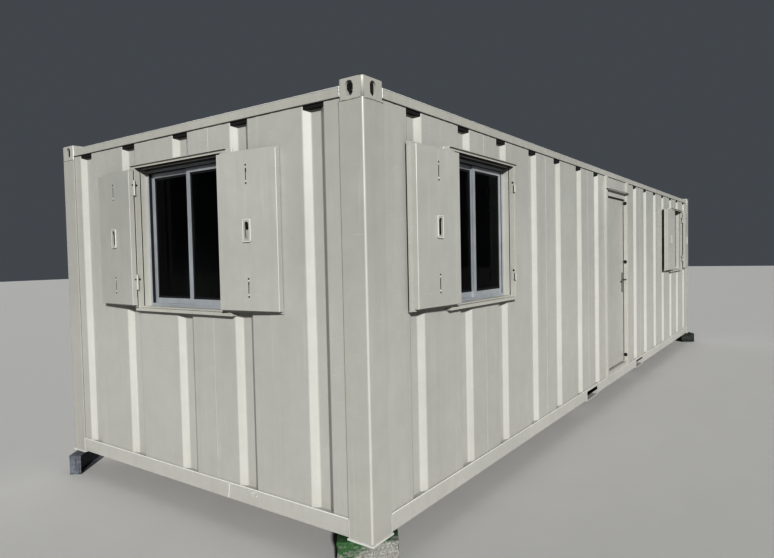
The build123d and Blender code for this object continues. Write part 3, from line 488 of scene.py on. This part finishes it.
# Corner posts and castings: folded steel posts stand on the base plates at all four corners.
# Each carries a cast steel block with lifting slots, welded on round its foot, with the rails welded to its sides.
z_casting, z_rail, z_rail_top, z_top = 2.487, 2.511, 2.565, 2.600
post_grey = painted("post_grey", (0.345, 0.341, 0.314, 1), streaks=0.6, splash=0.2)
casting_grey = painted("casting_grey", (0.36, 0.355, 0.325, 1), streaks=0.7, rust=0.4, bump=0.002)
coat(post_grey, "corner_posts")
top_slot_x, top_slot_y = (4.73, 4.85), (1.41, 1.48)


def cast_edge(edge):
    """Picks the upright edges of a casting and those round its top, but not those of the slot in it."""
    middle = (edge.verts[0].co + edge.verts[1].co) / 2
    upright = abs(edge.verts[0].co.z - edge.verts[1].co.z) > 0.1
    in_slot = (top_slot_x[0] < abs(middle.x) < top_slot_x[1]
               and top_slot_y[0] < abs(middle.y) < top_slot_y[1])
    return upright or (middle.z > z_top - 0.001 and not in_slot)


rounded("corner_castings", 0.010, casting_grey, pick=cast_edge, turns=(40, 170), steps=4)
foot_seams, seam_wander, mid_x, mid_y = [], 0.001, 4.78, 1.44
for sx, sy in corners:
    face_x, face_y = sx * half_length, sy * half_width
    foot_seams.append([(sx * post_x, face_y, z_casting), (sx * mid_x, face_y, z_casting + seam_wander),
                       (sx * (half_length - post_round), face_y, z_casting - seam_wander)])
    foot_seams.append([(face_x, sy * post_y, z_casting), (face_x, sy * mid_y, z_casting - seam_wander),
                       (face_x, sy * (half_width - post_round), z_casting + seam_wander)])
head_seams = beside_posts(inset=0.005, low=z_rail, high=z_rail_top)
grown("casting_foot_welds", bead_tree, lines(foot_seams), casting_grey, "cabin", "grey_paint",
      Pitch=0.006, Radius=0.0040, Ripple=0.35, Seed=3)
grown("casting_rail_welds", bead_tree, lines(head_seams), weld_grey, "cabin", "grey_paint",
      Pitch=0.006, Radius=0.0042, Ripple=0.35, Seed=2)
# A dark grey bead where the posts meet the sheets: partly the weld, and its darkness is painted shade in the step.
seam_grey = painted("seam_grey", (0.13, 0.128, 0.115, 1), streaks=0.3, rust=0.3)
post_seam_shade = beside_posts(inset=0.0115, low=z_sheet, high=z_rail)
grown("post_seam_welds", bead_tree, lines(post_seam_shade), seam_grey, "cabin", "grey_paint",
      Pitch=0.03, Radius=0.0022, Ripple=0.12, Seed=5)

# Top rails: box-section steel tubes welded between the castings, standing a little proud of the wall sheets.
# A line of sealant closes the joint under each rail; its near-black colour is painted shade under the proud rail.
rail_grey = painted("top_rail_grey", (0.36, 0.355, 0.325, 1), streaks=0.8, rust=0.25)
rounded("top_side_rails", 0.004, rail_grey, pick=longer(1.0))
rounded("top_end_rails", 0.004, rail_grey, pick=longer(1.0))


def plain(name, colour, rough, metal=0.0, scale=60.0, shift=0.06, bump=0.0002):
    """A small part's finish: one colour, broken up by a fine grain in its tone, gloss and relief."""
    finish, tree, shader, here = new_finish(name, metal)
    fine = grain(tree, here, scale, 5.0, 0.6)
    tone = spread(tree, fine, 0.3, 0.7, 1.0 - shift, 1.0 + shift)
    tree.links.new(blend_colour(tree, 1.0, colour, tone, "MULTIPLY"), shader.inputs["Base Color"])
    tree.links.new(spread(tree, fine, 0.3, 0.7, rough - 0.05, rough + 0.08), shader.inputs["Roughness"])
    press_in(tree, shader, fine, bump)
    return finish


# Painted shade: the sealant under the top rails is near black and stands for the rail's shadow line.
old_sealant = plain("old_sealant", (0.045, 0.043, 0.038, 1), 0.7, scale=90, shift=0.3, bump=0.0006)
sealant_shade_runs = along_walls(inset=0.0105, height=z_rail - 0.002)
grown("top_rail_sealant", bead_tree, lines(sealant_shade_runs), old_sealant, "cabin", "grey_paint",
      Pitch=0.03, Radius=0.0028, Ripple=0.35, Seed=7)

# Wall sheets: thin steel pressed with deep upright recesses, in lengths that lap at the narrow flats.
# They are welded to the posts and rails, and black blocks fill the recess tops under the top rail as painted shade.
sheet_grey = painted("wall_sheet_grey", (0.36, 0.357, 0.332, 1), streaks=0.6, splash=0.3)
for wall in ("front_wall_left", "front_wall_right", "front_wall_head",
             "back_wall", "left_end_wall", "right_end_wall"):
    rounded(wall, 0.0045, sheet_grey, pick=longer(0.06), turns=(30, 75), steps=3)
side_recesses = (0.863, 1.441, 2.046, 2.624, 3.229, 3.807, 4.412,
                 -0.831, -1.409, -2.014, -2.592, -3.197, -3.775, -4.380)
end_recesses = (-1.170, -0.565, 0.013, 0.618, 1.196)
side_laps = (-3.486, -2.303, -1.120, 3.518, 2.335, 1.152)
end_laps = (-0.276,)
window_low, window_high, windows_from = 1.324, 2.348, 3
lap_x, lap_y = half_length - 0.012, half_width - 0.012


def lap(point, cut_by_window):
    """The upright runs of one lap seam, broken where a window sits."""
    spans = ((z_sheet, window_low), (window_high, z_rail)) if cut_by_window else ((z_sheet, z_rail),)
    return [[(*point, low), (*point, high)] for low, high in spans]


laps = []
for x in side_laps:
    laps += lap((x, -lap_y), abs(x) > windows_from) + lap((x, lap_y), False)
for y in end_laps:
    laps += lap((-lap_x, y), True) + lap((lap_x, y), False)
grown("lap_seams", bead_tree, lines(laps), sheet_grey, "cabin", "grey_paint",
      Pitch=0.04, Radius=0.0014, Ripple=0.15, Seed=8)

block_tree, given, out = grow("blocks_in_recesses", [
    ("Block Size", "NodeSocketVector", (0.198, 0.026, 0.025)),
    ("Flare", "NodeSocketFloat", 14.8),
    ("Finish", "NodeSocketMaterial", None),
])
block = add(block_tree, "GeometryNodeMeshCube", {"Vertices X": 3, "Vertices Y": 2, "Vertices Z": 2})
at = add(block_tree, "GeometryNodeInputPosition")
parts = add(block_tree, "ShaderNodeSeparateXYZ")
slant = add(block_tree, "ShaderNodeMath", operation="MULTIPLY")
widen = add(block_tree, "ShaderNodeMath", operation="MULTIPLY")
shift = add(block_tree, "ShaderNodeCombineXYZ")
flare = add(block_tree, "GeometryNodeSetPosition")
facing = add(block_tree, "GeometryNodeInputNamedAttribute", {"Name": "facing"}, data_type="FLOAT_VECTOR")
aim = add(block_tree, "FunctionNodeAlignRotationToVector", axis="Y", pivot_axis="Z")
copies = add(block_tree, "GeometryNodeInstanceOnPoints")
for source, target in (
    (given.outputs["Block Size"], block.inputs["Size"]),
    (at.outputs["Position"], parts.inputs["Vector"]),
    (parts.outputs["X"], slant.inputs[0]),
    (parts.outputs["Y"], slant.inputs[1]),
    (slant.outputs[0], widen.inputs[0]),
    (given.outputs["Flare"], widen.inputs[1]),
    (widen.outputs[0], shift.inputs["X"]),
    (block.outputs["Mesh"], flare.inputs["Geometry"]),
    (shift.outputs["Vector"], flare.inputs["Offset"]),
    (facing.outputs["Attribute"], aim.inputs["Vector"]),
    (given.outputs["Geometry"], copies.inputs["Points"]),
    (flare.outputs["Geometry"], copies.inputs["Instance"]),
    (aim.outputs["Rotation"], copies.inputs["Rotation"]),
):
    block_tree.links.new(source, target)
end_tree(block_tree, given, out, copies.outputs["Instances"])


def spots(places):
    """A mesh of points, each with the way that it faces."""
    mesh = bpy.data.meshes.new("spots")
    mesh.from_pydata([point for point, _ in places], [], [])
    ways = mesh.attributes.new("facing", "FLOAT_VECTOR", "POINT")
    for index, (_, way) in enumerate(places):
        ways.data[index].vector = way
    return mesh


# Painted shade: near-black foam blocks fill the recess tops, where the top rail's shadow falls.
foam_black = plain("foam_black", (0.012, 0.012, 0.011, 1), 0.95, scale=300, shift=0.4, bump=0.001)
shade_closer_z, shade_closer_in = z_rail - 0.0125, 0.0285
shade_closers = []
for side in (-1, 1):
    shade_closers += [((x, side * (half_width - shade_closer_in), shade_closer_z), (0, side, 0)) for x in side_recesses]
    shade_closers += [((side * (half_length - shade_closer_in), y, shade_closer_z), (side, 0, 0)) for y in end_recesses]
grown("foam_closers", block_tree, spots(shade_closers), foam_black, "cabin", "black_plastic")

# Roof: one welded skin of ribbed steel sheet, laid over the top rails and seamed to them all round.
roof_grey = painted("roof_grey", (0.33, 0.325, 0.305, 1), streaks=0.9, gloss=0.55, rust=0.4)
coat(roof_grey, "roof_sheet")
roof_edges = along_walls(inset=0.0085, height=z_rail_top + 0.0005)
grown("roof_edge_welds", bead_tree, lines(roof_edges), weld_grey, "cabin", "grey_paint",
      Pitch=0.02, Radius=0.003, Ripple=0.25, Seed=11)

# Floor and lining: a boarded deck under sheet vinyl, with pale faced boards on the walls and under the roof.
# Narrow cover strips hide the joints between the boards of the back wall.
board = plain("lining_board", (0.50, 0.49, 0.45, 1), 0.6, scale=14, shift=0.03)
vinyl = plain("floor_vinyl", (0.10, 0.095, 0.09, 1), 0.5, scale=40, shift=0.12)
coat(board, "front_lining", "back_lining", "end_linings", "ceiling_panel")
coat(vinyl, "floor_deck")
strip_white = plain("strip_white", (0.55, 0.54, 0.50, 1), 0.45, scale=30, shift=0.03)


def bars(name, corners, edge, finish, body="cabin"):
    """A piece made of chamfered bars."""
    work = bmesh.new()
    for low, high in corners:
        bar(work, low, high, edge)
    mesh = bpy.data.meshes.new(name)
    work.to_mesh(mesh)
    work.free()
    mesh.materials.append(finish)
    return place(name, mesh, body)


inner_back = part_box("back_lining")[0].y
board_width, strip_half, strip_thick, strip_foot, strip_head = 1.22, 0.02, 0.004, 0.312, 2.448
strips = [((x - strip_half, inner_back - strip_thick, strip_foot), (x + strip_half, inner_back, strip_head))
          for x in (board_width * i for i in range(-3, 4))]
bars("lining_cover_strips", strips, 0.001, strip_white)

# Window sub-frames: angle steel welded round each opening, standing proud of the sheets, with a drip strip on top.
# Ribbed black strips line the head and the corners of the jambs as painted shade, and sealant runs round the outside.
window_grey = painted("window_grey", (0.375, 0.368, 0.335, 1), streaks=0.8, splash=0.0, rust=0.2)
seal_black = plain("seal_black", (0.010, 0.010, 0.010, 1), 0.6, scale=200, shift=0.3, bump=0.0004)
windows = {
    "near": (Vector((-3.537, -half_width, 1.834)), Vector((1, 0, 0)), Vector((0, -1, 0))),
    "far": (Vector((3.592, -half_width, 1.834)), Vector((1, 0, 0)), Vector((0, -1, 0))),
    "end": (Vector((-half_length, 0.011, 1.834)), Vector((0, -1, 0)), Vector((-1, 0, 0))),
}
up = Vector((0, 0, 1))
jamb_half, head_half, frame_half = 0.470, 0.488, 0.510
stop_half, stop_head = 0.461, 0.479


def span(window, low, high):
    """Two corners in the row frame of a bar given along, out and up from a window's middle."""
    middle, along, outward = windows[window]
    ends = [middle + along * a + outward * o + up * z for a, o, z in (low, high)]
    return ([min(ends[0][i], ends[1][i]) for i in range(3)], [max(ends[0][i], ends[1][i]) for i in range(3)])


for name, (middle, along, outward) in windows.items():
    rounded(name + "_window_frame", 0.0015, window_grey, pick=longer(0.5), turns=(60, 120))
    # Painted shade: black strips on the head soffit and in the jamb steps, where shade falls.
    head_shade_strips = [span(name, (-stop_half, out_at - 0.006, soffit - 0.0022), (stop_half, out_at + 0.006, soffit))
             for out_at, soffit in ((-0.052, stop_head), (-0.038, stop_head), (-0.024, stop_head),
                                    (-0.005, head_half), (0.006, head_half), (0.018, head_half))]
    head_shade_strips.append(span(name, (-stop_half, -0.059, stop_head - 0.001), (stop_half, -0.013, stop_head)))
    head_shade_strips.append(span(name, (-stop_half, -0.011, head_half - 0.001), (stop_half, 0.027, head_half)))
    head_shade_strips += [span(name, (side * stop_half, -0.0119, -stop_head),
                   (side * (stop_half + 0.005), -0.0080, head_half - 0.003)) for side in (-1, 1)]
    bars(name + "_opening_seals", head_shade_strips, 0.0004, seal_black)
    frame_rim = [middle + along * a * (frame_half + 0.001) + up * z * (frame_half + 0.001) + outward * -0.0115
                 for a, z in ((-1, -1), (1, -1), (1, 1), (-1, 1))]
    grown(name + "_frame_sealant", bead_tree, lines([frame_rim + frame_rim[:1]]), weld_grey, "cabin", "grey_paint",
          Pitch=0.02, Radius=0.003, Ripple=0.25, Seed=12)

# Sliding windows: mill-finish aluminium sashes in a shallow track, with dark glass held by wide black rubber, partly
# painted shade. Black strips in the gap between the sashes and their track are painted shade.
slider_metal, tree, shader, here = new_finish("slider_metal", metal=0.35)
drawn = grain(tree, stretch(tree, here, (240.0, 240.0, 3.0)), 1.0, 4.0, 0.6)
smudge = grain(tree, here, 7.0, 5.0, 0.6)
tone = calc(tree, "MULTIPLY", spread(tree, drawn, 0.3, 0.7, 0.93, 1.06), spread(tree, smudge, 0.3, 0.7, 0.90, 1.06))
tree.links.new(blend_colour(tree, 1.0, (0.38, 0.395, 0.41, 1), tone, "MULTIPLY"), shader.inputs["Base Color"])
tree.links.new(spread(tree, smudge, 0.3, 0.7, 0.30, 0.46), shader.inputs["Roughness"])
press_in(tree, shader, drawn, 0.0001)
coat(slider_metal, "near_window_slider", "far_window_slider", "end_window_slider")
glass = bpy.data.materials.new("window_glass")
glass.use_nodes = True
pane = glass.node_tree.nodes["Principled BSDF"]
pane.inputs["Base Color"].default_value = (0.30, 0.34, 0.33, 1)
pane.inputs["Roughness"].default_value = 0.02
pane.inputs["IOR"].default_value = 1.12
pane.inputs["Transmission Weight"].default_value = 1.0
coat(glass, "near_window_glass", "far_window_glass", "end_window_glass")


def islands(node):
    """The low and high corners of each separate solid in a CAD node."""
    work = joined(node)
    left, found = set(work.verts), []
    while left:
        seen, todo = set(), [left.pop()]
        while todo:
            vert = todo.pop()
            seen.add(vert)
            fresh = [edge.other_vert(vert) for edge in vert.link_edges]
            todo += [other for other in fresh if other in left]
            left.difference_update(fresh)
        found.append(([min(v.co[i] for v in seen) for i in range(3)], [max(v.co[i] for v in seen) for i in range(3)]))
    work.free()
    return sorted(found)


# Painted shade: the glass rubber is widened and black strips fill the sash gaps, standing for the shade in the sash
# channels.
gasket_and_shade_width, gasket_thick, brush_shade_width, shade_strip_front, rim_half, rim_head = 0.014, 0.0012, 0.006, -0.0640, 0.441, 0.459
for name, (middle, along, outward) in windows.items():
    shade_and_rubber_bars = []
    for low, high in islands(name + "_window_glass"):
        a0, a1 = sorted(((Vector(low) - middle).dot(along), (Vector(high) - middle).dot(along)))
        face = max((Vector(low) - middle).dot(outward), (Vector(high) - middle).dot(outward))
        z0, z1 = low[2] - middle.z, high[2] - middle.z
        for p, q in (((a0, z0), (a0 + gasket_and_shade_width, z1)), ((a1 - gasket_and_shade_width, z0), (a1, z1)),
                     ((a0, z0), (a1, z0 + gasket_and_shade_width)), ((a0, z1 - gasket_and_shade_width), (a1, z1))):
            shade_and_rubber_bars.append(span(name, (p[0], face, p[1]), (q[0], face + gasket_thick, q[1])))
    for side, deep in ((-1, -0.0815), (1, -0.0655)):
        shade_and_rubber_bars.append(span(name, (side * rim_half, deep, -rim_head),
                           (side * (rim_half - brush_shade_width), shade_strip_front, rim_head)))
        shade_and_rubber_bars.append(span(name, (min(0, side) * rim_half, deep, rim_head),
                           (max(0, side) * rim_half, shade_strip_front, rim_head - brush_shade_width)))
    bars(name + "_glass_rubber", shade_and_rubber_bars, 0.0003, seal_black)

# Shutter hinges: pairs of steel knuckles on thin plates, four to a window, with countersunk black bolts.
# One leaf of the near window is gone, and its lower hinge halves are left on the jamb.
head_tree, given, out = grow("heads_on_points", [
    ("Radius", "NodeSocketFloat", 0.005),
    ("Crown", "NodeSocketFloat", 0.0035),
    ("Height", "NodeSocketFloat", 0.002),
    ("Sides", "NodeSocketInt", 14),
    ("Finish", "NodeSocketMaterial", None),
])
head = add(head_tree, "GeometryNodeMeshCone")
facing = add(head_tree, "GeometryNodeInputNamedAttribute", {"Name": "facing"}, data_type="FLOAT_VECTOR")
aim = add(head_tree, "FunctionNodeAlignRotationToVector", axis="Z")
copies = add(head_tree, "GeometryNodeInstanceOnPoints")
for source, target in (
    (given.outputs["Radius"], head.inputs["Radius Bottom"]),
    (given.outputs["Crown"], head.inputs["Radius Top"]),
    (given.outputs["Height"], head.inputs["Depth"]),
    (given.outputs["Sides"], head.inputs["Vertices"]),
    (given.outputs["Geometry"], copies.inputs["Points"]),
    (head.outputs["Mesh"], copies.inputs["Instance"]),
    (facing.outputs["Attribute"], aim.inputs["Vector"]),
    (aim.outputs["Rotation"], copies.inputs["Rotation"]),
):
    head_tree.links.new(source, target)
end_tree(head_tree, given, out, copies.outputs["Instances"])


def heads(name, places, finish, body, slot, radius, crown, height, sides=14):
    """Like round heads on the same body, at points that each face a way."""
    return grown(name, head_tree, spots(places), finish, body, slot,
                 Radius=radius, Crown=crown, Height=height, Sides=sides)


hinge_axis, hinge_out, hinge_rises = 0.4645, 0.036, (0.351, -0.309)
hinge_plate, bolt_out, bolt_rise = 0.0015, 0.018, 0.020
bolt_black = plain("bolt_black", (0.014, 0.013, 0.012, 1), 0.5, scale=150, shift=0.3)
coat(window_grey, "near_shutter_hinges", "far_shutter_hinges", "end_shutter_hinges")
for name, (middle, along, outward) in windows.items():
    bolts = [(middle + along * side * (jamb_half - hinge_plate) + outward * bolt_out + up * (rise + bolt_rise),
              along * -side) for side in (-1, 1) for rise in hinge_rises]
    heads(name + "_jamb_bolts", bolts, bolt_black, "cabin", "handle_steel",
          radius=0.0078, crown=0.0070, height=0.0006)

# Shutter leaves: an outer steel skin welded over a shallow pressed pan, hollow, folded back against the wall.
# Each has two latch slots between domed screws and, in a raised collar, a pull with its black lock.
shutter_grey = painted("shutter_grey", (0.352, 0.349, 0.324, 1), streaks=0.6, splash=0.0, rust=0.1, bump=0.0008)
bright_steel = plain("bright_steel", (0.62, 0.61, 0.57, 1), 0.35, metal=0.3, scale=150, shift=0.1)
latch_in, pan_out, slot_rises, screw_gap, bead_gap = 0.235, 0.041, (0.335, -0.331), 0.053, 0.0425
pull_rise, rim_half_width, rim_half_height = 0.005, 0.0285, 0.066
leaves = (("near", "left", 183), ("far", "left", 183), ("far", "right", 183),
          ("end", "left", 184.5), ("end", "right", 186))
for window, hand, fold in leaves:
    node, body = f"{window}_shutter_{hand}", f"{window}_{hand}_shutter"
    coat(shutter_grey, node)
    middle, along, outward = windows[window]
    side = -1 if hand == "left" else 1
    turn = math.radians(fold)
    inward = along * -side
    across = inward * math.cos(turn) + outward * math.sin(turn)
    to_skin = outward * math.cos(turn) - inward * math.sin(turn)
    pin = middle + along * side * hinge_axis + outward * hinge_out

    def on_leaf(reach, rise, deep):
        """A point on an open leaf: along it from its pin, up from the window's middle, and out from its pin line."""
        return pin + across * reach + up * rise - to_skin * deep

    screws = [(on_leaf(latch_in, rise + gap, pan_out), -to_skin)
              for rise in slot_rises for gap in (-screw_gap, screw_gap)]
    heads(node + "_screws", screws, bolt_black, body, "handle_steel", radius=0.0058, crown=0.0040, height=0.0016)
    # Bright steel domes at the slot ends: partly latch tongues and partly painted highlight.
    highlight_tips = [(on_leaf(latch_in, rise + gap, pan_out - 0.0005), -to_skin)
            for rise, gap in ((slot_rises[0], -bead_gap), (slot_rises[1], -bead_gap), (slot_rises[1], bead_gap))]
    heads(node + "_slot_ends", highlight_tips, bright_steel, body, "handle_steel", radius=0.0046, crown=0.0030, height=0.0030)
    lock = [(on_leaf(latch_in, pull_rise + 0.0375, pan_out - 0.018), -to_skin)]
    heads(node + "_lock", lock, bolt_black, body, "black_plastic",
          radius=0.0142, crown=0.0142, height=0.020, sides=20)
    # Painted highlight: a lighter grey bead round each pull's raised collar.
    rim_highlight_points = [on_leaf(latch_in + a * rim_half_width, pull_rise + z * rim_half_height, pan_out + 0.0065)
                for a, z in ((-1, -1), (1, -1), (1, 1), (-1, 1))]
    grown(node + "_pull_rim", bead_tree, lines([rim_highlight_points + rim_highlight_points[:1]]), lip_grey, body, "grey_paint",
          Pitch=0.01, Radius=0.0026, Ripple=0.05, Seed=3)
    plates = [(on_leaf(-hinge_plate, rise + bolt_rise, 0.015), -across) for rise in hinge_rises]
    heads(node + "_hinge_bolts", plates, bolt_black, body, "handle_steel",
          radius=0.0058, crown=0.0050, height=0.0006)
    caps = [(on_leaf(0, rise + 0.0525, 0), up) for rise in hinge_rises]
    heads(node + "_pin_caps", caps, window_grey, body, "grey_paint", radius=0.0060, crown=0.0042, height=0.0022)

# Door frame: two steel posts and a head, standing proud of the sheets, with a stop behind the leaf.
# A sloped steel bar sheds rain over the top, and a grooved threshold closes the foot.
door_grey = painted("door_frame_grey", (0.37, 0.365, 0.335, 1), streaks=0.7, rust=0.25)
rounded("door_frame", 0.002, door_grey, pick=longer(0.7), turns=(60, 120))
rounded("drip_bar", 0.0012, door_grey, turns=(60, 120))
rounded("threshold", 0.0012, low_grey, pick=longer(0.5), turns=(60, 120))
seal_left, seal_right, seal_foot, seal_head = -0.4425, 0.3905, 0.31, 2.299
leaf_front, leaf_back, leaf_top = -1.4845, -1.4385, 2.2945
# Black rubber seals the gaps round the leaf; the strips in front of the latch and head gaps also stand for the shade
# there, as painted shade.
door_seals_and_shade = [((x0, leaf_back, z0), (x1, leaf_back + 0.003, z1)) for (x0, z0), (x1, z1) in (
    ((seal_left, seal_foot), (-0.4345, seal_head)),
    ((0.3835, seal_foot), (seal_right, seal_head)),
    ((seal_left, leaf_top), (seal_right, 2.2995)))]
door_seals_and_shade.append(((0.3890, -1.4895, 0.315), (0.3910, leaf_front, leaf_top)))
door_seals_and_shade.append(((-0.4400, -1.4955, 2.2965), (0.3880, leaf_front, 2.2995)))
bars("door_seal", door_seals_and_shade, 0.0006, seal_black)

# Door leaf: a steel skin folded over an insulated core, hung on three steel hinges at its left edge.
leaf_grey = painted("door_leaf_grey", (0.342, 0.338, 0.314, 1), streaks=0.5, splash=0.6, bump=0.0008)
rounded("door_leaf", 0.002, leaf_grey, body="door", pick=longer(0.7), turns=(60, 120))
pin_x, pin_y, half_hinge = -0.436, -1.490, 0.050
door_pins = [(Vector((pin_x, pin_y, z + half_hinge)), up) for z in (0.570, 1.330, 2.090)]
heads("door_pin_caps", door_pins, weld_grey, "door", "grey_paint", radius=0.0052, crown=0.0036, height=0.002)

# Door handle: a bent lever on a long backplate on each face, in satin steel, over the key cylinder of its lock.
handle_metal, tree, shader, here = new_finish("handle_metal", metal=1.0)
brushed = grain(tree, stretch(tree, here, (30.0, 300.0, 300.0)), 1.0, 3.0, 0.5)
brushed_tone = spread(tree, brushed, 0.3, 0.7, 0.9, 1.08)
tree.links.new(blend_colour(tree, 1.0, (0.27, 0.27, 0.265, 1), brushed_tone, "MULTIPLY"), shader.inputs["Base Color"])
tree.links.new(spread(tree, brushed, 0.3, 0.7, 0.24, 0.42), shader.inputs["Roughness"])
press_in(tree, shader, brushed, 0.0001)
rounded("door_handle", 0.001, handle_metal, body="door", pick=longer(0.03), turns=(30, 120))
key_x, key_z = 0.328, 1.228
faces = ((-1.489, Vector((0, -1, 0))), (-1.433, Vector((0, 1, 0))))
heads("key_cylinders", [(Vector((key_x, y, key_z)), way) for y, way in faces],
      handle_metal, "door", "handle_steel", radius=0.0125, crown=0.0110, height=0.0030, sides=20)
heads("key_holes", [(Vector((key_x, y, key_z)) + way * 0.0030, way) for y, way in faces],
      bolt_black, "door", "black_plastic", radius=0.0075, crown=0.0070, height=0.0008)
plate_screws = [(Vector((key_x, y, z)), way) for y, way in faces for z in (1.186, 1.394)]
heads("backplate_screws", plate_screws, bolt_black, "door", "handle_steel",
      radius=0.0042, crown=0.0030, height=0.0012)

# Jamb studs: three flat black plastic buffers pressed into the latch post.
stud_black = plain("stud_black", (0.015, 0.015, 0.015, 1), 0.5, scale=120, shift=0.2)
coat(stud_black, "jamb_studs")

# Studio: a plain pale floor, a key light from behind the camera's left shoulder, a soft fill for the far sides
# and an even surround.
ground = bpy.data.meshes.new("studio_floor")
ground.from_pydata([(-60, -60, 0), (60, -60, 0), (60, 60, 0), (-60, 60, 0)], [], [(0, 1, 2, 3)])
studio_floor = bpy.data.objects.new("studio_floor", ground)
bpy.context.collection.objects.link(studio_floor)
studio_floor.data.materials.append(plain("studio_floor", (0.52, 0.51, 0.49, 1), 0.85, scale=3, shift=0.01))

key = bpy.data.lights.new("key", "SUN")
key.energy = 6.15
key.angle = math.radians(4)
key.color = (0.99, 0.995, 1.0)
key_place = bpy.data.objects.new("key", key)
key_place.rotation_euler = Vector((0.91, 0.91, -0.50)).to_track_quat("-Z", "Y").to_euler()
bpy.context.collection.objects.link(key_place)
fill = bpy.data.lights.new("fill", "SUN")
fill.energy = 1.1
fill.angle = math.radians(80)
fill_place = bpy.data.objects.new("fill", fill)
fill_place.rotation_euler = Vector((-0.8, -1.0, -0.6)).to_track_quat("-Z", "Y").to_euler()
bpy.context.collection.objects.link(fill_place)
world = bpy.data.worlds.new("surround")
world.use_nodes = True
world.node_tree.nodes["Background"].inputs["Color"].default_value = (0.82, 0.90, 1.0, 1)
world.node_tree.nodes["Background"].inputs["Strength"].default_value = 0.16
bpy.context.scene.world = world
bpy.context.scene.view_settings.view_transform = "Standard"
bpy.context.scene.view_settings.gamma = 0.68

# Camera: stands about three metres from the near corner, at eye height.
yaw, pitch, roll = math.radians(35.536), math.radians(-2.190), math.radians(1.214)
ahead = Vector((math.cos(yaw) * math.cos(pitch), math.sin(yaw) * math.cos(pitch), math.sin(pitch)))
right = Vector((math.sin(yaw), -math.cos(yaw), 0))
down = ahead.cross(right)
tilted_right = right * math.cos(roll) + down * math.sin(roll)
tilted_down = down * math.cos(roll) - right * math.sin(roll)
lens = bpy.data.cameras.new("camera")
lens.sensor_fit = "HORIZONTAL"
lens.sensor_width = 36
lens.lens = 27.71
lens.clip_end = 300
camera = bpy.data.objects.new("camera", lens)
camera.matrix_world = Matrix((tilted_right, -tilted_down, -ahead)).transposed().to_4x4()
camera.location = (-7.3007, -3.3849, 1.6718)
bpy.context.collection.objects.link(camera)
bpy.context.scene.camera = camera
